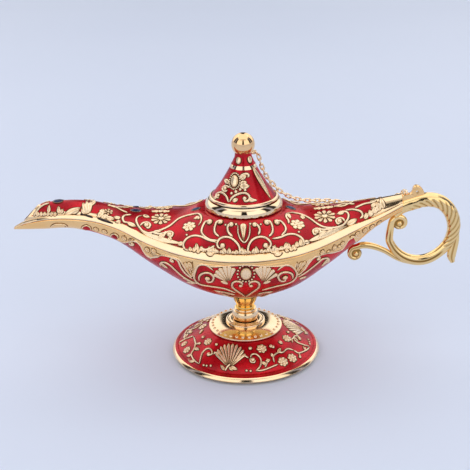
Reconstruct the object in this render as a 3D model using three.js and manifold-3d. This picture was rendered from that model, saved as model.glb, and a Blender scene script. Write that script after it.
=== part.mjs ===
// Footed genie lamp in red-enamelled and gold-plated metal: a domed foot on a felt pad, a beaded collar and
// a stem, a two-part body with a spout and a tail, a scrolled handle, a lift-off lid with a ball knob, and a
// safety chain from the lid to the handle.
// Millimetres, +Z up. The origin is the centre of the pad's underside. The spout points to -X, the handle to +X.

import * as THREE from "three";
import { mergeVertices } from "three/addons/utils/BufferGeometryUtils.js";
import Module from "manifold-3d";

const wasm = await Module();
wasm.setup();

// Clearances
const SEAT_GAP = 0.3;
const BOLT_CLEARANCE = 0.35;
const LID_CLEARANCE = 0.4;
const CUT_OVERRUN = 1;

// Foot and pad
const FOOT_RADIUS = 35.4;
const FOOT_LIFT = 0.4;
const FOOT_RIM_HEIGHT = 3.8;
const FOOT_RIM_STEP = 3.1;
const FOOT_RIM_MIDDLE = 2;
const FOOT_RIM_TUCK = 2.2;
const FOOT_HEIGHT = 12.6;
const FOOT_TOP_RADIUS = 17;
const FOOT_DOME_BULGE = 0.3;
const FOOT_WALL = 1.8;
const PAD_MARGIN = 4.9;
const PAD_THICKNESS = 1.2;
const PAD_LEDGE = 1.6;

// Beaded collar on the foot
const COLLAR_RADIUS = 17.4;
const COLLAR_EDGE = 1;
const COLLAR_STEP_RADIUS = 9.3;
const COLLAR_DOME_HEIGHT = 2.8;
const COLLAR_BULGE = 0.4;
const COLLAR_STEP_HEIGHT = 1.3;

// Stem
const STEM_HEIGHT = 12.4;
const STEM_BASE_RADIUS = 6.1;
const STEM_RING_RADIUS = 5.3;
const STEM_WAIST_RADIUS = 4.1;
const STEM_TOP_RADIUS = 6.4;
const STEM_STEP = 0.5;

// Bolt, washer and nut that clamp foot, collar, stem and bowl together
const BOLT_RADIUS = 2;
const BOLT_HEAD_RADIUS = 4;
const BOLT_HEAD_HEIGHT = 2.8;
const WASHER_RADIUS = 5.2;
const WASHER_THICKNESS = 1;
const NUT_RADIUS = 4;
const NUT_HEIGHT = 3.2;
const BOLT_END = 1;

// Body, with heights measured from the bottom of the bowl
const SPOUT_REACH = 106;
const TAIL_REACH = 72;
const BODY_WIDTH = 66;
const SHELL_WALL = 1.6;
const DOME_WALL = 1.85;
const RIM_BAND_WIDTH = 4.2;
const RIM_BAND_RISE = 0.45;
const RIM_EDGE = 0.8;
const RIM_OVERHANG = 0.5;
const RIM_TUCK = 0.32;
const DOME_POWER = 0.75;

// Shares of a narrow section's half width that its overhang, wall and rim band may take at most
const OVERHANG_SHARE = 0.1;
const WALL_SHARE = 0.55;
const BAND_SHARE = 0.28;

// Boss for the bolt, mouth of the spout and fineness of the shells
const BOSS_RADIUS = 6.4;
const BOSS_HEIGHT = 4.4;
const MOUTH_REACH = 102;
const MOUTH_TILT = THREE.MathUtils.degToRad(43);
const BODY_STATIONS = 32;
const BOWL_COLUMNS = 14;
const DOME_COLUMNS = 6;

// Neck and its collar
const NECK_HEIGHT = 43.8;
const NECK_RADIUS = 18.2;
const NECK_FLARE = 6.5;
const NECK_BORE = 13.2;
const NECK_SLEEVE_WALL = 1.2;
const NECK_SLEEVE_DEPTH = 3.8;
const NECK_BAND_RADIUS = 17.8;
const NECK_TOP_RADIUS = 16.2;
const NECK_BAND_HEIGHT = 4;
const NECK_BAND_BULGE = 0.5;

// Lid, knob and the tab that holds the chain
const LID_FLANGE_RADIUS = 15.8;
const LID_FLANGE_HEIGHT = 1.3;
const LID_BASE_RADIUS = 14.6;
const LID_TOP_RADIUS = 3.9;
const LID_CONE_HEIGHT = 18;
const LID_CONE_SAG = 0.7;
const LID_WALL = 1.6;
const LID_TOP_THICKNESS = 1.6;
const LID_SKIRT_DEPTH = 5;
const LID_SKIRT_WALL = 1.2;
const KNOB_RADIUS = 5.3;
const KNOB_SINK = 1.1;
const KNOB_HOLE_DEPTH = 6;
const KNOB_SCREW_RADIUS = 1.25;
const KNOB_SCREW_HEAD_RADIUS = 2.4;
const KNOB_SCREW_HEAD_HEIGHT = 1.6;
const TAB_RADIUS = 4;
const TAB_THICKNESS = 0.8;
const TAB_EYE_REACH = 5.1;
const TAB_EYE_RADIUS = 1.55;
const TAB_EYE_HOLE = 0.8;
const TAB_ANGLE = THREE.MathUtils.degToRad(45);

// Handle: a loop that runs into a small scroll, and a brace that runs back under the tail into another
const LOOP_RADIUS = 15;
const LOOP_START = 129;
const LOOP_END = -168;
const LOOP_MIDDLE = -90;
const LOOP_STEP = 9;
const LOOP_DROP = 2.2;
const TENON_RADIUS = 1.5;
const TENON_LENGTH = 6;
const SCROLL_RADIUS = 3.3;
const SCROLL_BAR = 1.5;
const SCROLL_BALL = 1.7;
const SCROLL_ANGLE = 172;
const SCROLL_TURN = 285;
const SCROLL_STEPS = 14;
const SCROLL_TIGHTEN = 0.35;
const SCROLL_TAPER = 0.3;
const SCROLL_SETBACK = 0.9;
const BRACE_ANGLE = -112;
const BRACE_REACH = 20.6;
const BRACE_RISE = 0.6;
const BRACE_BAR = 1.8;
const BRACE_SCROLL_RADIUS = 4.2;
const BRACE_SCROLL_ANGLE = 70;
const HANDLE_SIDES = 8;

// Thumb rest on top of the handle, with the eyelet that holds the chain
const THUMB_LENGTH = 11;
const THUMB_FRONT_HEIGHT = 5.6;
const THUMB_PEAK = 10.2;
const THUMB_PEAK_REACH = 6.6;
const THUMB_THICKNESS = 2.8;
const THUMB_ROUND = 0.75;
const THUMB_HOLE = 0.75;
const EYELET_RADIUS = 1.15;
const EYELET_BAR = 0.4;
const EYELET_REACH = 1.9;
const EYELET_STEPS = 14;

// Chain of oval links
const LINK_INNER_LENGTH = 2.5;
const LINK_INNER_WIDTH = 1.35;
const LINK_WIRE = 0.5;
const LINK_COUNT = 39;
const LINK_ARC_STEPS = 3;
const LINK_SIDES = 4;

const TURN_SEGMENTS = 32;
const SMALL_TURN_SEGMENTS = 16;

// Side lines of the body. The first number of a point is its share of the reach, to the spout below zero and
// to the tail above it. The second is a height above the bowl's bottom, or a share of the half width.
const KEEL_POINTS = [
  [-1, 34.8], [-0.87, 35.1], [-0.78, 35.6], [-0.72, 35.1], [-0.64, 32.8], [-0.54, 28.6], [-0.4, 18.3],
  [-0.2, 6], [0, 1.4], [0.29, 5.9], [0.5, 15.2], [0.72, 26.6], [0.875, 35.5], [1, 40.3],
];
const SEAM_POINTS = [
  [-1, 35.8], [-0.94, 38.7], [-0.83, 41.5], [-0.68, 41.7], [-0.54, 39], [-0.4, 34], [-0.2, 30.7], [0, 29.9],
  [0.3, 31.2], [0.58, 34.4], [0.83, 38.8], [1, 44.2],
];
const RIDGE_POINTS = [
  [-1, 42.8], [-0.88, 46.4], [-0.8, 48], [-0.66, 47.4], [-0.5, 42.9], [-0.33, 41.8], [-0.24, 42.7], [0, 49],
  [0.35, 42.2], [0.55, 42.5], [0.78, 45.6], [1, 48.5],
];
const WIDTH_POINTS = [
  [-1, 0.035], [-0.94, 0.12], [-0.86, 0.19], [-0.75, 0.245], [-0.62, 0.32], [-0.5, 0.47], [-0.28, 0.82],
  [-0.15, 0.95], [0, 1], [0.25, 0.94], [0.42, 0.8], [0.56, 0.61], [0.7, 0.4], [0.84, 0.235], [1, 0.15],
];

// Loop of the handle by angle in degrees: distance from its centre and bar radius, as shares of LOOP_RADIUS
const LOOP_SHARES = [
  [150, 1.1], [129, 1.02], [110, 0.955], [82, 1.02], [58, 1.07], [15, 1.02], [-42, 0.94], [-90, 0.99], [-168, 1.01],
];
const LOOP_BARS = [
  [150, 0.213], [129, 0.213], [82, 0.227], [45, 0.22], [0, 0.2], [-42, 0.16], [-90, 0.167], [-168, 0.12],
];

// Leaf tip behind the loop: reach, drop and bar radius from root to end, as shares of LOOP_RADIUS
const LEAF_TIP = [[0.97, 0.13, 0.17], [0.99, 0.57, 0.127], [1.015, 1.03, 0.033]];

// Route of the chain from the tab to the eyelet, as places between its two fixed ends
const CHAIN_ROUTE = [
  [5.1, 5.1, 68], [6.4, 6.3, 66.8], [7.3, 6.9, 64.8], [7.9, 7, 62.4], [9, 7, 59.4], [11, 7, 55.2], [14.6, 7, 50.8],
  [17.4, 7, 48.1], [21.4, 7.3, 45.6], [27, 8.1, 43.5], [34, 9.5, 42.6], [41, 11, 41.8], [48, 11.9, 40.3],
  [55, 11.2, 39.7], [62, 9.8, 40.4], [68, 8.8, 42.5], [71.8, 7.4, 45.3], [73.8, 4.9, 47.8],
];

const RED = 0xb3121f;
const GOLD = 0xe0b45c;
const STEEL = 0xb8b8b4;
const FELT = 0x4a1218;

// Smooth line through points that are in order of their first number
function through(points) {
  const slope = (i) => {
    const a = points[Math.max(i - 1, 0)];
    const b = points[Math.min(i + 1, points.length - 1)];
    return (b[1] - a[1]) / (b[0] - a[0]);
  };
  return (x) => {
    const last = points.length - 2;
    const found = points.findIndex((point, i) => i > 0 && x <= point[0]) - 1;
    const i = found < 0 ? (x <= points[0][0] ? 0 : last) : found;
    const [x0, y0] = points[i];
    const [x1, y1] = points[i + 1];
    const width = x1 - x0;
    const t = THREE.MathUtils.clamp((x - x0) / width, 0, 1);
    const rise = (1 + 2 * t) * (1 - t) ** 2 * y0 + t * t * (3 - 2 * t) * y1;
    return rise + width * (t * (1 - t) ** 2 * slope(i) - t * t * (1 - t) * slope(i + 1));
  };
}

// The same line with its points placed along the body
function alongBody(points, scale = 1) {
  return through(points.map(([share, value]) => [share * (share < 0 ? SPOUT_REACH : TAIL_REACH), value * scale]));
}

// Shallow arc from one point of a profile to another, pushed out in its middle
function bulged(from, to, bulge, steps) {
  const start = new THREE.Vector2(...from);
  const end = new THREE.Vector2(...to);
  const chord = end.clone().sub(start).normalize();
  const outward = new THREE.Vector2(chord.y, -chord.x);
  const control = start.clone().add(end).multiplyScalar(0.5).addScaledVector(outward, 2 * bulge);
  return new THREE.QuadraticBezierCurve(start, control, end).getPoints(steps).map((point) => [point.x, point.y]);
}

// Solid of revolution about Z from radius and height pairs
function turned(profile, segments = TURN_SEGMENTS) {
  const points = profile.map(([radius, height]) => new THREE.Vector2(radius, height));
  return new THREE.LatheGeometry(points, segments).rotateX(Math.PI / 2);
}

// Ring of revolution, whose profile closes on itself
function turnedRing(profile, segments = TURN_SEGMENTS) {
  return turned([...profile, profile[0]], segments);
}

function rod(radius, bottom, top, segments = SMALL_TURN_SEGMENTS) {
  return turned([[0, bottom], [radius, bottom], [radius, top], [0, top]], segments);
}

function hexagon(radius, bottom, top) {
  return rod(radius, bottom, top, 6);
}

// Closed sheet between an outer and an inner grid of points of the same size
function thickSheet(outer, inner) {
  const rows = outer.length;
  const columns = outer[0].length;
  const positions = [...outer, ...inner].flat().flatMap((point) => point.toArray());
  const out = (i, j) => i * columns + j;
  const inn = (i, j) => (rows + i) * columns + j;
  const index = [];
  const quad = (a, b, c, d) => index.push(a, b, c, a, c, d);
  for (let i = 0; i < rows - 1; i += 1) {
    for (let j = 0; j < columns - 1; j += 1) {
      quad(out(i, j), out(i + 1, j), out(i + 1, j + 1), out(i, j + 1));
      quad(inn(i, j), inn(i, j + 1), inn(i + 1, j + 1), inn(i + 1, j));
    }
    const edge = columns - 1;
    quad(out(i + 1, 0), out(i, 0), inn(i, 0), inn(i + 1, 0));
    quad(out(i, edge), out(i + 1, edge), inn(i + 1, edge), inn(i, edge));
  }
  for (let j = 0; j < columns - 1; j += 1) {
    const end = rows - 1;
    quad(out(0, j), out(0, j + 1), inn(0, j + 1), inn(0, j));
    quad(out(end, j + 1), out(end, j), inn(end, j), inn(end, j + 1));
  }
  return indexed(positions, index);
}

function indexed(positions, index) {
  const geometry = new THREE.BufferGeometry();
  geometry.setAttribute("position", new THREE.Float32BufferAttribute(positions, 3));
  geometry.setIndex(index);
  return geometry;
}

// Round bar along points of the XZ plane, with a radius at each point
function roundBar(points, radii, sides, closed = false) {
  const count = points.length;
  const positions = [];
  points.forEach((point, i) => {
    const before = points[closed ? (i + count - 1) % count : Math.max(i - 1, 0)];
    const after = points[closed ? (i + 1) % count : Math.min(i + 1, count - 1)];
    const tangent = after.clone().sub(before).normalize();
    const across = new THREE.Vector3(-tangent.z, 0, tangent.x);
    for (let k = 0; k < sides; k += 1) {
      const angle = (2 * Math.PI * k) / sides;
      const place = point.clone().addScaledVector(across, radii[i] * Math.cos(angle));
      place.y += radii[i] * Math.sin(angle);
      positions.push(...place.toArray());
    }
  });
  const index = [];
  const spans = closed ? count : count - 1;
  for (let i = 0; i < spans; i += 1) {
    const next = (i + 1) % count;
    for (let k = 0; k < sides; k += 1) {
      const turn = (k + 1) % sides;
      const corner = next * sides + turn;
      index.push(i * sides + k, next * sides + k, corner, i * sides + k, corner, i * sides + turn);
    }
  }
  if (!closed) {
    const first = positions.length / 3;
    positions.push(...points[0].toArray(), ...points[count - 1].toArray());
    for (let k = 0; k < sides; k += 1) {
      const turn = (k + 1) % sides;
      const end = (count - 1) * sides;
      index.push(first, k, turn, first + 1, end + turn, end + k);
    }
  }
  return indexed(positions, index);
}

function solidOf(geometry) {
  const bare = new THREE.BufferGeometry();
  bare.setAttribute("position", geometry.getAttribute("position"));
  bare.setIndex(geometry.getIndex());
  const merged = mergeVertices(bare, 1e-4);
  const vertProperties = merged.getAttribute("position").array;
  const triVerts = new Uint32Array(merged.getIndex().array);
  return new wasm.Manifold(new wasm.Mesh({ numProp: 3, vertProperties, triVerts }));
}

function geometryOf(solid) {
  const mesh = solid.getMesh();
  return indexed(Array.from(mesh.vertProperties), Array.from(mesh.triVerts));
}

function joined(...geometries) {
  return geometryOf(geometries.map(solidOf).reduce((all, next) => all.add(next)));
}

function cut(geometry, ...tools) {
  return geometryOf(tools.map(solidOf).reduce((rest, tool) => rest.subtract(tool), solidOf(geometry)));
}

function piece(group, name, geometry, color, roughness, metalness) {
  const mesh = new THREE.Mesh(geometry, new THREE.MeshStandardMaterial({ color, roughness, metalness }));
  mesh.name = name;
  group.add(mesh);
  return mesh;
}

const enamelled = (group, name, geometry) => piece(group, name, geometry, RED, 0.25, 0.35);
const gilded = (group, name, geometry) => piece(group, name, geometry, GOLD, 0.2, 1);
const steel = (group, name, geometry) => piece(group, name, geometry, STEEL, 0.4, 0.9);

// Sizes and heights that several pieces share
const boltHole = BOLT_RADIUS + BOLT_CLEARANCE;
const padRadius = FOOT_RADIUS - PAD_MARGIN;
const collarBottom = FOOT_HEIGHT + SEAT_GAP;
const collarTop = collarBottom + COLLAR_DOME_HEIGHT + COLLAR_STEP_HEIGHT;
const stemBottom = collarTop + SEAT_GAP;
const bodyBase = stemBottom + STEM_HEIGHT + SEAT_GAP;
const nutBottom = BOSS_HEIGHT + SEAT_GAP;
const neckCollarBottom = NECK_HEIGHT + SEAT_GAP;
const lidBase = neckCollarBottom + NECK_BAND_HEIGHT + SEAT_GAP;
const lidTop = LID_FLANGE_HEIGHT + LID_CONE_HEIGHT;
const tabBottom = lidTop + SEAT_GAP;
const knobBottom = tabBottom + TAB_THICKNESS + SEAT_GAP;

// Foot with the pad glued under it

function padGeometry() {
  return turned([[0, 0], [padRadius, 0], [padRadius, PAD_THICKNESS], [0, PAD_THICKNESS]]);
}

function footGeometry() {
  const domeBase = [FOOT_RADIUS - FOOT_RIM_STEP, FOOT_RIM_HEIGHT];
  const dome = bulged(domeBase, [FOOT_TOP_RADIUS, FOOT_HEIGHT], FOOT_DOME_BULGE, 6);
  const recess = padRadius + SEAT_GAP;
  const ledge = PAD_THICKNESS + SEAT_GAP;
  const ceiling = FOOT_HEIGHT - FOOT_WALL;
  const innerDome = bulged([padRadius - PAD_LEDGE, ledge], [FOOT_TOP_RADIUS, ceiling], FOOT_DOME_BULGE, 4);
  return turnedRing([
    [recess, FOOT_LIFT],
    ...bulged([FOOT_RADIUS - FOOT_RIM_TUCK, FOOT_LIFT], [FOOT_RADIUS, FOOT_RIM_MIDDLE], FOOT_LIFT, 3),
    ...bulged([FOOT_RADIUS, FOOT_RIM_MIDDLE], domeBase, FOOT_LIFT, 3).slice(1),
    ...dome.slice(1),
    [boltHole, FOOT_HEIGHT],
    [boltHole, ceiling],
    ...innerDome.reverse(),
    [recess, ledge],
  ]);
}

function washerGeometry() {
  const top = FOOT_HEIGHT - FOOT_WALL - SEAT_GAP;
  const bottom = top - WASHER_THICKNESS;
  const profile = [[boltHole, bottom], [WASHER_RADIUS, bottom], [WASHER_RADIUS, top], [boltHole, top]];
  return turnedRing(profile, SMALL_TURN_SEGMENTS);
}

function boltGeometry() {
  const headTop = FOOT_HEIGHT - FOOT_WALL - WASHER_THICKNESS - 2 * SEAT_GAP;
  const head = hexagon(BOLT_HEAD_RADIUS, headTop - BOLT_HEAD_HEIGHT, headTop);
  const shankTop = bodyBase + nutBottom + NUT_HEIGHT + BOLT_END;
  return joined(head, rod(BOLT_RADIUS, headTop - BOLT_HEAD_HEIGHT / 2, shankTop));
}

function beadedCollarGeometry() {
  const shoulder = collarBottom + COLLAR_DOME_HEIGHT;
  const dome = bulged([COLLAR_RADIUS, collarBottom + COLLAR_EDGE], [COLLAR_STEP_RADIUS, shoulder], COLLAR_BULGE, 5);
  return turnedRing([
    [boltHole, collarBottom],
    [COLLAR_RADIUS, collarBottom],
    ...dome,
    [COLLAR_STEP_RADIUS, collarTop],
    [boltHole, collarTop],
  ]);
}

function stemGeometry() {
  const level = (share) => stemBottom + share * STEM_HEIGHT;
  const waist = new THREE.SplineCurve([
    new THREE.Vector2(STEM_WAIST_RADIUS, level(0.47)),
    new THREE.Vector2(STEM_WAIST_RADIUS, level(0.55)),
    new THREE.Vector2((STEM_WAIST_RADIUS + STEM_TOP_RADIUS) / 2, level(0.75)),
    new THREE.Vector2(STEM_TOP_RADIUS, level(1)),
  ]);
  return turnedRing([
    [boltHole, level(0)],
    [STEM_BASE_RADIUS - STEM_STEP, level(0)],
    [STEM_BASE_RADIUS, level(0.08)],
    [STEM_BASE_RADIUS, level(0.24)],
    [STEM_BASE_RADIUS - STEM_STEP, level(0.32)],
    [STEM_RING_RADIUS - STEM_STEP, level(0.35)],
    [STEM_RING_RADIUS, level(0.38)],
    [STEM_RING_RADIUS, level(0.43)],
    ...waist.getPoints(6).map((point) => [point.x, point.y]),
    [boltHole, level(1)],
  ]);
}

// Body shells

const keel = alongBody(KEEL_POINTS);
const seam = alongBody(SEAM_POINTS);
const ridge = alongBody(RIDGE_POINTS);
const halfWidth = alongBody(WIDTH_POINTS, BODY_WIDTH / 2);

function stations(from, to) {
  return Array.from({ length: BODY_STATIONS + 1 }, (_, i) => from + ((to - from) * i) / BODY_STATIONS);
}

function bowlRow(x, width, bottom, top) {
  return Array.from({ length: BOWL_COLUMNS + 1 }, (_, j) => {
    const angle = (Math.PI * j) / BOWL_COLUMNS;
    const depth = (top - bottom) * Math.sin(angle);
    return new THREE.Vector3(x, width * Math.cos(angle), top - depth);
  });
}

function lowerShellGeometry() {
  const outer = [];
  const inner = [];
  for (const x of stations(-SPOUT_REACH, TAIL_REACH)) {
    const width = halfWidth(x) - Math.min(RIM_OVERHANG, OVERHANG_SHARE * halfWidth(x));
    const top = seam(x) - SEAT_GAP;
    const wall = Math.min(SHELL_WALL, WALL_SHARE * width, WALL_SHARE * (top - keel(x)));
    outer.push(bowlRow(x, width, keel(x), top));
    inner.push(bowlRow(x, width - wall, keel(x) + wall, top));
  }
  const bowl = joined(thickSheet(outer, inner), rod(BOSS_RADIUS, 0, BOSS_HEIGHT));
  return cut(bowl, rod(boltHole, -CUT_OVERRUN, BOSS_HEIGHT + CUT_OVERRUN));
}

// Height of the upper shell's outside at a place inside the rim band
function domeHeight(x, y, reach, base) {
  const share = Math.min(Math.abs(y) / reach, 1);
  const free = base + (ridge(x) - base) * (1 - share * share) ** DOME_POWER;
  const outside = THREE.MathUtils.smoothstep(Math.hypot(x, y), NECK_RADIUS, NECK_RADIUS + NECK_FLARE);
  return THREE.MathUtils.lerp(NECK_HEIGHT, free, outside);
}

// Half of one section of the upper shell, from the rim to the ridge: outside and inside points
function domeHalf(x, side) {
  const width = halfWidth(x);
  const base = seam(x);
  const band = Math.min(RIM_BAND_WIDTH, BAND_SHARE * width);
  const reach = width - band;
  const rise = base + band * RIM_BAND_RISE + RIM_EDGE / 2;
  const tuck = Math.min(RIM_TUCK, band / 2);
  const outside = [[width, base], [width, base + RIM_EDGE / 2]];
  const inside = [[reach + tuck, base], [reach, base + RIM_EDGE / 4]];
  for (let j = 0; j < DOME_COLUMNS; j += 1) {
    const share = Math.cos((Math.PI / 2) * (j / DOME_COLUMNS));
    const height = domeHeight(x, reach * share, reach, rise);
    outside.push([reach * share, height]);
    inside.push([(reach - tuck) * share, Math.max(height - DOME_WALL, base + RIM_EDGE / 2)]);
  }
  const place = ([y, z]) => new THREE.Vector3(x, side * y, z);
  return { outside: outside.map(place), inside: inside.map(place) };
}

function domeRow(x) {
  const front = domeHalf(x, -1);
  const back = domeHalf(x, 1);
  const top = domeHeight(x, 0, 1, ridge(x));
  const crown = new THREE.Vector3(x, 0, top);
  const ceiling = new THREE.Vector3(x, 0, top - DOME_WALL);
  return {
    outside: [...front.outside, crown, ...back.outside.reverse()],
    inside: [...front.inside, ceiling, ...back.inside.reverse()],
  };
}

function upperShellGeometry() {
  const rows = stations(-MOUTH_REACH, TAIL_REACH).map(domeRow);
  const shell = thickSheet(rows.map((row) => row.outside), rows.map((row) => row.inside));
  const neckHole = rod(NECK_BORE + NECK_SLEEVE_WALL + SEAT_GAP, 0, 2 * NECK_HEIGHT, TURN_SEGMENTS);
  const block = 2 * (NECK_HEIGHT - seam(-MOUTH_REACH));
  const mouthCut = new THREE.BoxGeometry(block, block, 2 * block);
  mouthCut.translate(-block / 2, 0, 0);
  mouthCut.rotateY(MOUTH_TILT);
  mouthCut.translate(-MOUTH_REACH, 0, seam(-MOUTH_REACH));
  return cut(shell, neckHole, mouthCut);
}

function neckCollarGeometry() {
  const sleeve = NECK_BORE + NECK_SLEEVE_WALL;
  const bottom = neckCollarBottom;
  const top = bottom + NECK_BAND_HEIGHT;
  return turnedRing([
    [NECK_BORE, bottom - NECK_SLEEVE_DEPTH],
    [sleeve, bottom - NECK_SLEEVE_DEPTH],
    [sleeve, bottom],
    ...bulged([NECK_BAND_RADIUS, bottom], [NECK_TOP_RADIUS, top], NECK_BAND_BULGE, 4),
    [NECK_BORE, top],
  ]);
}

// Lid, with heights measured from the underside of its flange

function lidGeometry() {
  const skirt = NECK_BORE - LID_CLEARANCE;
  const skirtInside = skirt - LID_SKIRT_WALL;
  const cone = bulged([LID_BASE_RADIUS, LID_FLANGE_HEIGHT], [LID_TOP_RADIUS, lidTop], -LID_CONE_SAG, 6);
  const hole = KNOB_SCREW_RADIUS + BOLT_CLEARANCE;
  const ceiling = lidTop - LID_TOP_THICKNESS;
  return turnedRing([
    [skirtInside, -LID_SKIRT_DEPTH],
    [skirt, -LID_SKIRT_DEPTH],
    [skirt, 0],
    [LID_FLANGE_RADIUS, 0],
    [LID_FLANGE_RADIUS, LID_FLANGE_HEIGHT / 2],
    [LID_FLANGE_RADIUS - LID_FLANGE_HEIGHT / 4, LID_FLANGE_HEIGHT],
    ...cone,
    [hole, lidTop],
    [hole, ceiling],
    [LID_TOP_RADIUS - LID_WALL / 2, ceiling],
    [skirtInside, LID_FLANGE_HEIGHT + LID_WALL],
  ]);
}

function tabGeometry() {
  const top = tabBottom + TAB_THICKNESS;
  const eye = rod(TAB_EYE_RADIUS, tabBottom, top).translate(TAB_EYE_REACH, 0, 0);
  const hole = (radius) => rod(radius, tabBottom - CUT_OVERRUN, top + CUT_OVERRUN);
  const eyeHole = hole(TAB_EYE_HOLE).translate(TAB_EYE_REACH, 0, 0);
  const screwHole = hole(KNOB_SCREW_RADIUS + BOLT_CLEARANCE);
  return cut(joined(rod(TAB_RADIUS, tabBottom, top), eye), eyeHole, screwHole).rotateZ(TAB_ANGLE);
}

function knobGeometry() {
  const centre = knobBottom + KNOB_RADIUS - KNOB_SINK;
  const ball = new THREE.SphereGeometry(KNOB_RADIUS, 20, 14).rotateX(Math.PI / 2).translate(0, 0, centre);
  const below = rod(KNOB_RADIUS, knobBottom - KNOB_RADIUS, knobBottom);
  const hole = rod(KNOB_SCREW_RADIUS + BOLT_CLEARANCE, knobBottom - CUT_OVERRUN, knobBottom + KNOB_HOLE_DEPTH);
  return cut(ball, below, hole);
}

function knobScrewGeometry() {
  const headTop = lidTop - LID_TOP_THICKNESS - SEAT_GAP;
  const headBottom = headTop - KNOB_SCREW_HEAD_HEIGHT;
  const end = knobBottom + KNOB_HOLE_DEPTH - SEAT_GAP;
  return joined(rod(KNOB_SCREW_HEAD_RADIUS, headBottom, headTop), rod(KNOB_SCREW_RADIUS, headBottom, end));
}

// Handle, in the XZ plane of the body

const tailMiddle = (keel(TAIL_REACH) + ridge(TAIL_REACH)) / 2;
const handleStart = new THREE.Vector3(TAIL_REACH + SEAT_GAP, 0, tailMiddle - LOOP_DROP);
const loopShare = through(LOOP_SHARES.toReversed());
const loopBar = through(LOOP_BARS.toReversed());

function onCircle(centre, radius, degrees) {
  const angle = THREE.MathUtils.degToRad(degrees);
  return new THREE.Vector3(centre.x + radius * Math.cos(angle), 0, centre.z + radius * Math.sin(angle));
}

const loopCentre = onCircle(handleStart, -LOOP_RADIUS * loopShare(LOOP_START), LOOP_START);

// Scroll that winds in from its first angle, ending beside the ball in its middle
function scroll(centre, radius, firstAngle, turn, bar) {
  const points = [];
  const bars = [];
  for (let i = 0; i <= SCROLL_STEPS; i += 1) {
    const share = i / SCROLL_STEPS;
    points.push(onCircle(centre, radius * (1 - SCROLL_TIGHTEN * share), firstAngle + turn * share));
    bars.push(bar * (1 - SCROLL_TAPER * share));
  }
  return { points, bars };
}

// Place of a scroll that hangs just under the tail
function underTail(x, reach) {
  const slope = Math.atan2(keel(x + 1) - keel(x - 1), 2);
  return new THREE.Vector3(x, 0, keel(x) - (reach + SEAT_GAP) / Math.cos(slope));
}

function ball(centre, radius) {
  return new THREE.SphereGeometry(radius, 12, 8).translate(centre.x, centre.y, centre.z);
}

// Stretch of the loop from one angle down to another
function loopStretch(from, to, extra = 0) {
  const points = [];
  const bars = [];
  for (let angle = from; angle >= to; angle -= LOOP_STEP) {
    points.push(onCircle(loopCentre, LOOP_RADIUS * loopShare(angle), angle));
    bars.push(loopBar(angle) * LOOP_RADIUS + extra);
  }
  return { points, bars };
}

// Upper half of the loop, run back past its start so that it can be trimmed flat
function armGeometry(extra) {
  const arm = loopStretch(LOOP_START + 2 * LOOP_STEP, LOOP_MIDDLE - LOOP_STEP, extra);
  return roundBar(arm.points, arm.bars, HANDLE_SIDES);
}

function lowerLoopGeometry() {
  const run = loopStretch(LOOP_MIDDLE, LOOP_END);
  const centre = underTail(TAIL_REACH - SCROLL_SETBACK, SCROLL_RADIUS + SCROLL_BAR);
  const end = scroll(centre, SCROLL_RADIUS, SCROLL_ANGLE, -SCROLL_TURN, SCROLL_BAR);
  const bar = roundBar([...run.points, ...end.points], [...run.bars, ...end.bars], HANDLE_SIDES);
  return joined(bar, ball(centre, SCROLL_BALL));
}

function braceGeometry() {
  const reach = BRACE_SCROLL_RADIUS + BRACE_BAR;
  const centre = underTail(TAIL_REACH - BRACE_REACH, reach);
  const end = scroll(centre, BRACE_SCROLL_RADIUS, BRACE_SCROLL_ANGLE, SCROLL_TURN, BRACE_BAR);
  const root = onCircle(loopCentre, LOOP_RADIUS * loopShare(BRACE_ANGLE), BRACE_ANGLE);
  const middle = root.clone().lerp(end.points[0], 0.5);
  middle.z += BRACE_RISE;
  const lead = new THREE.CatmullRomCurve3([root, middle, end.points[0], end.points[3]]).getPoints(18);
  const run = lead.filter((point) => point.x > end.points[0].x + 1);
  const bars = run.map(() => BRACE_BAR);
  return joined(roundBar([...run, ...end.points], [...bars, ...end.bars], HANDLE_SIDES), ball(centre, SCROLL_BALL));
}

function leafTipGeometry() {
  const points = LEAF_TIP.map(([out, drop]) => {
    return new THREE.Vector3(loopCentre.x + out * LOOP_RADIUS, 0, loopCentre.z - drop * LOOP_RADIUS);
  });
  return roundBar(points, LEAF_TIP.map((place) => place[2] * LOOP_RADIUS), HANDLE_SIDES);
}

function tenonGeometry() {
  const middle = (x) => (keel(x) + ridge(x)) / 2;
  const inner = TAIL_REACH - TENON_LENGTH;
  const start = new THREE.Vector3(inner, 0, middle(inner));
  const end = new THREE.Vector3(TAIL_REACH + TENON_LENGTH / 2, 0, middle(TAIL_REACH));
  return roundBar([start, end], [TENON_RADIUS, TENON_RADIUS], HANDLE_SIDES);
}

function handleGeometry() {
  const block = 2 * LOOP_RADIUS;
  const tailSide = new THREE.BoxGeometry(block, block, block);
  tailSide.translate(handleStart.x - block / 2, 0, handleStart.z);
  const arm = cut(armGeometry(0), tailSide);
  return joined(arm, lowerLoopGeometry(), braceGeometry(), leafTipGeometry(), tenonGeometry());
}

const eyeletPlace = new THREE.Vector3(handleStart.x + EYELET_REACH, 0, handleStart.z + THUMB_FRONT_HEIGHT);

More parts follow.
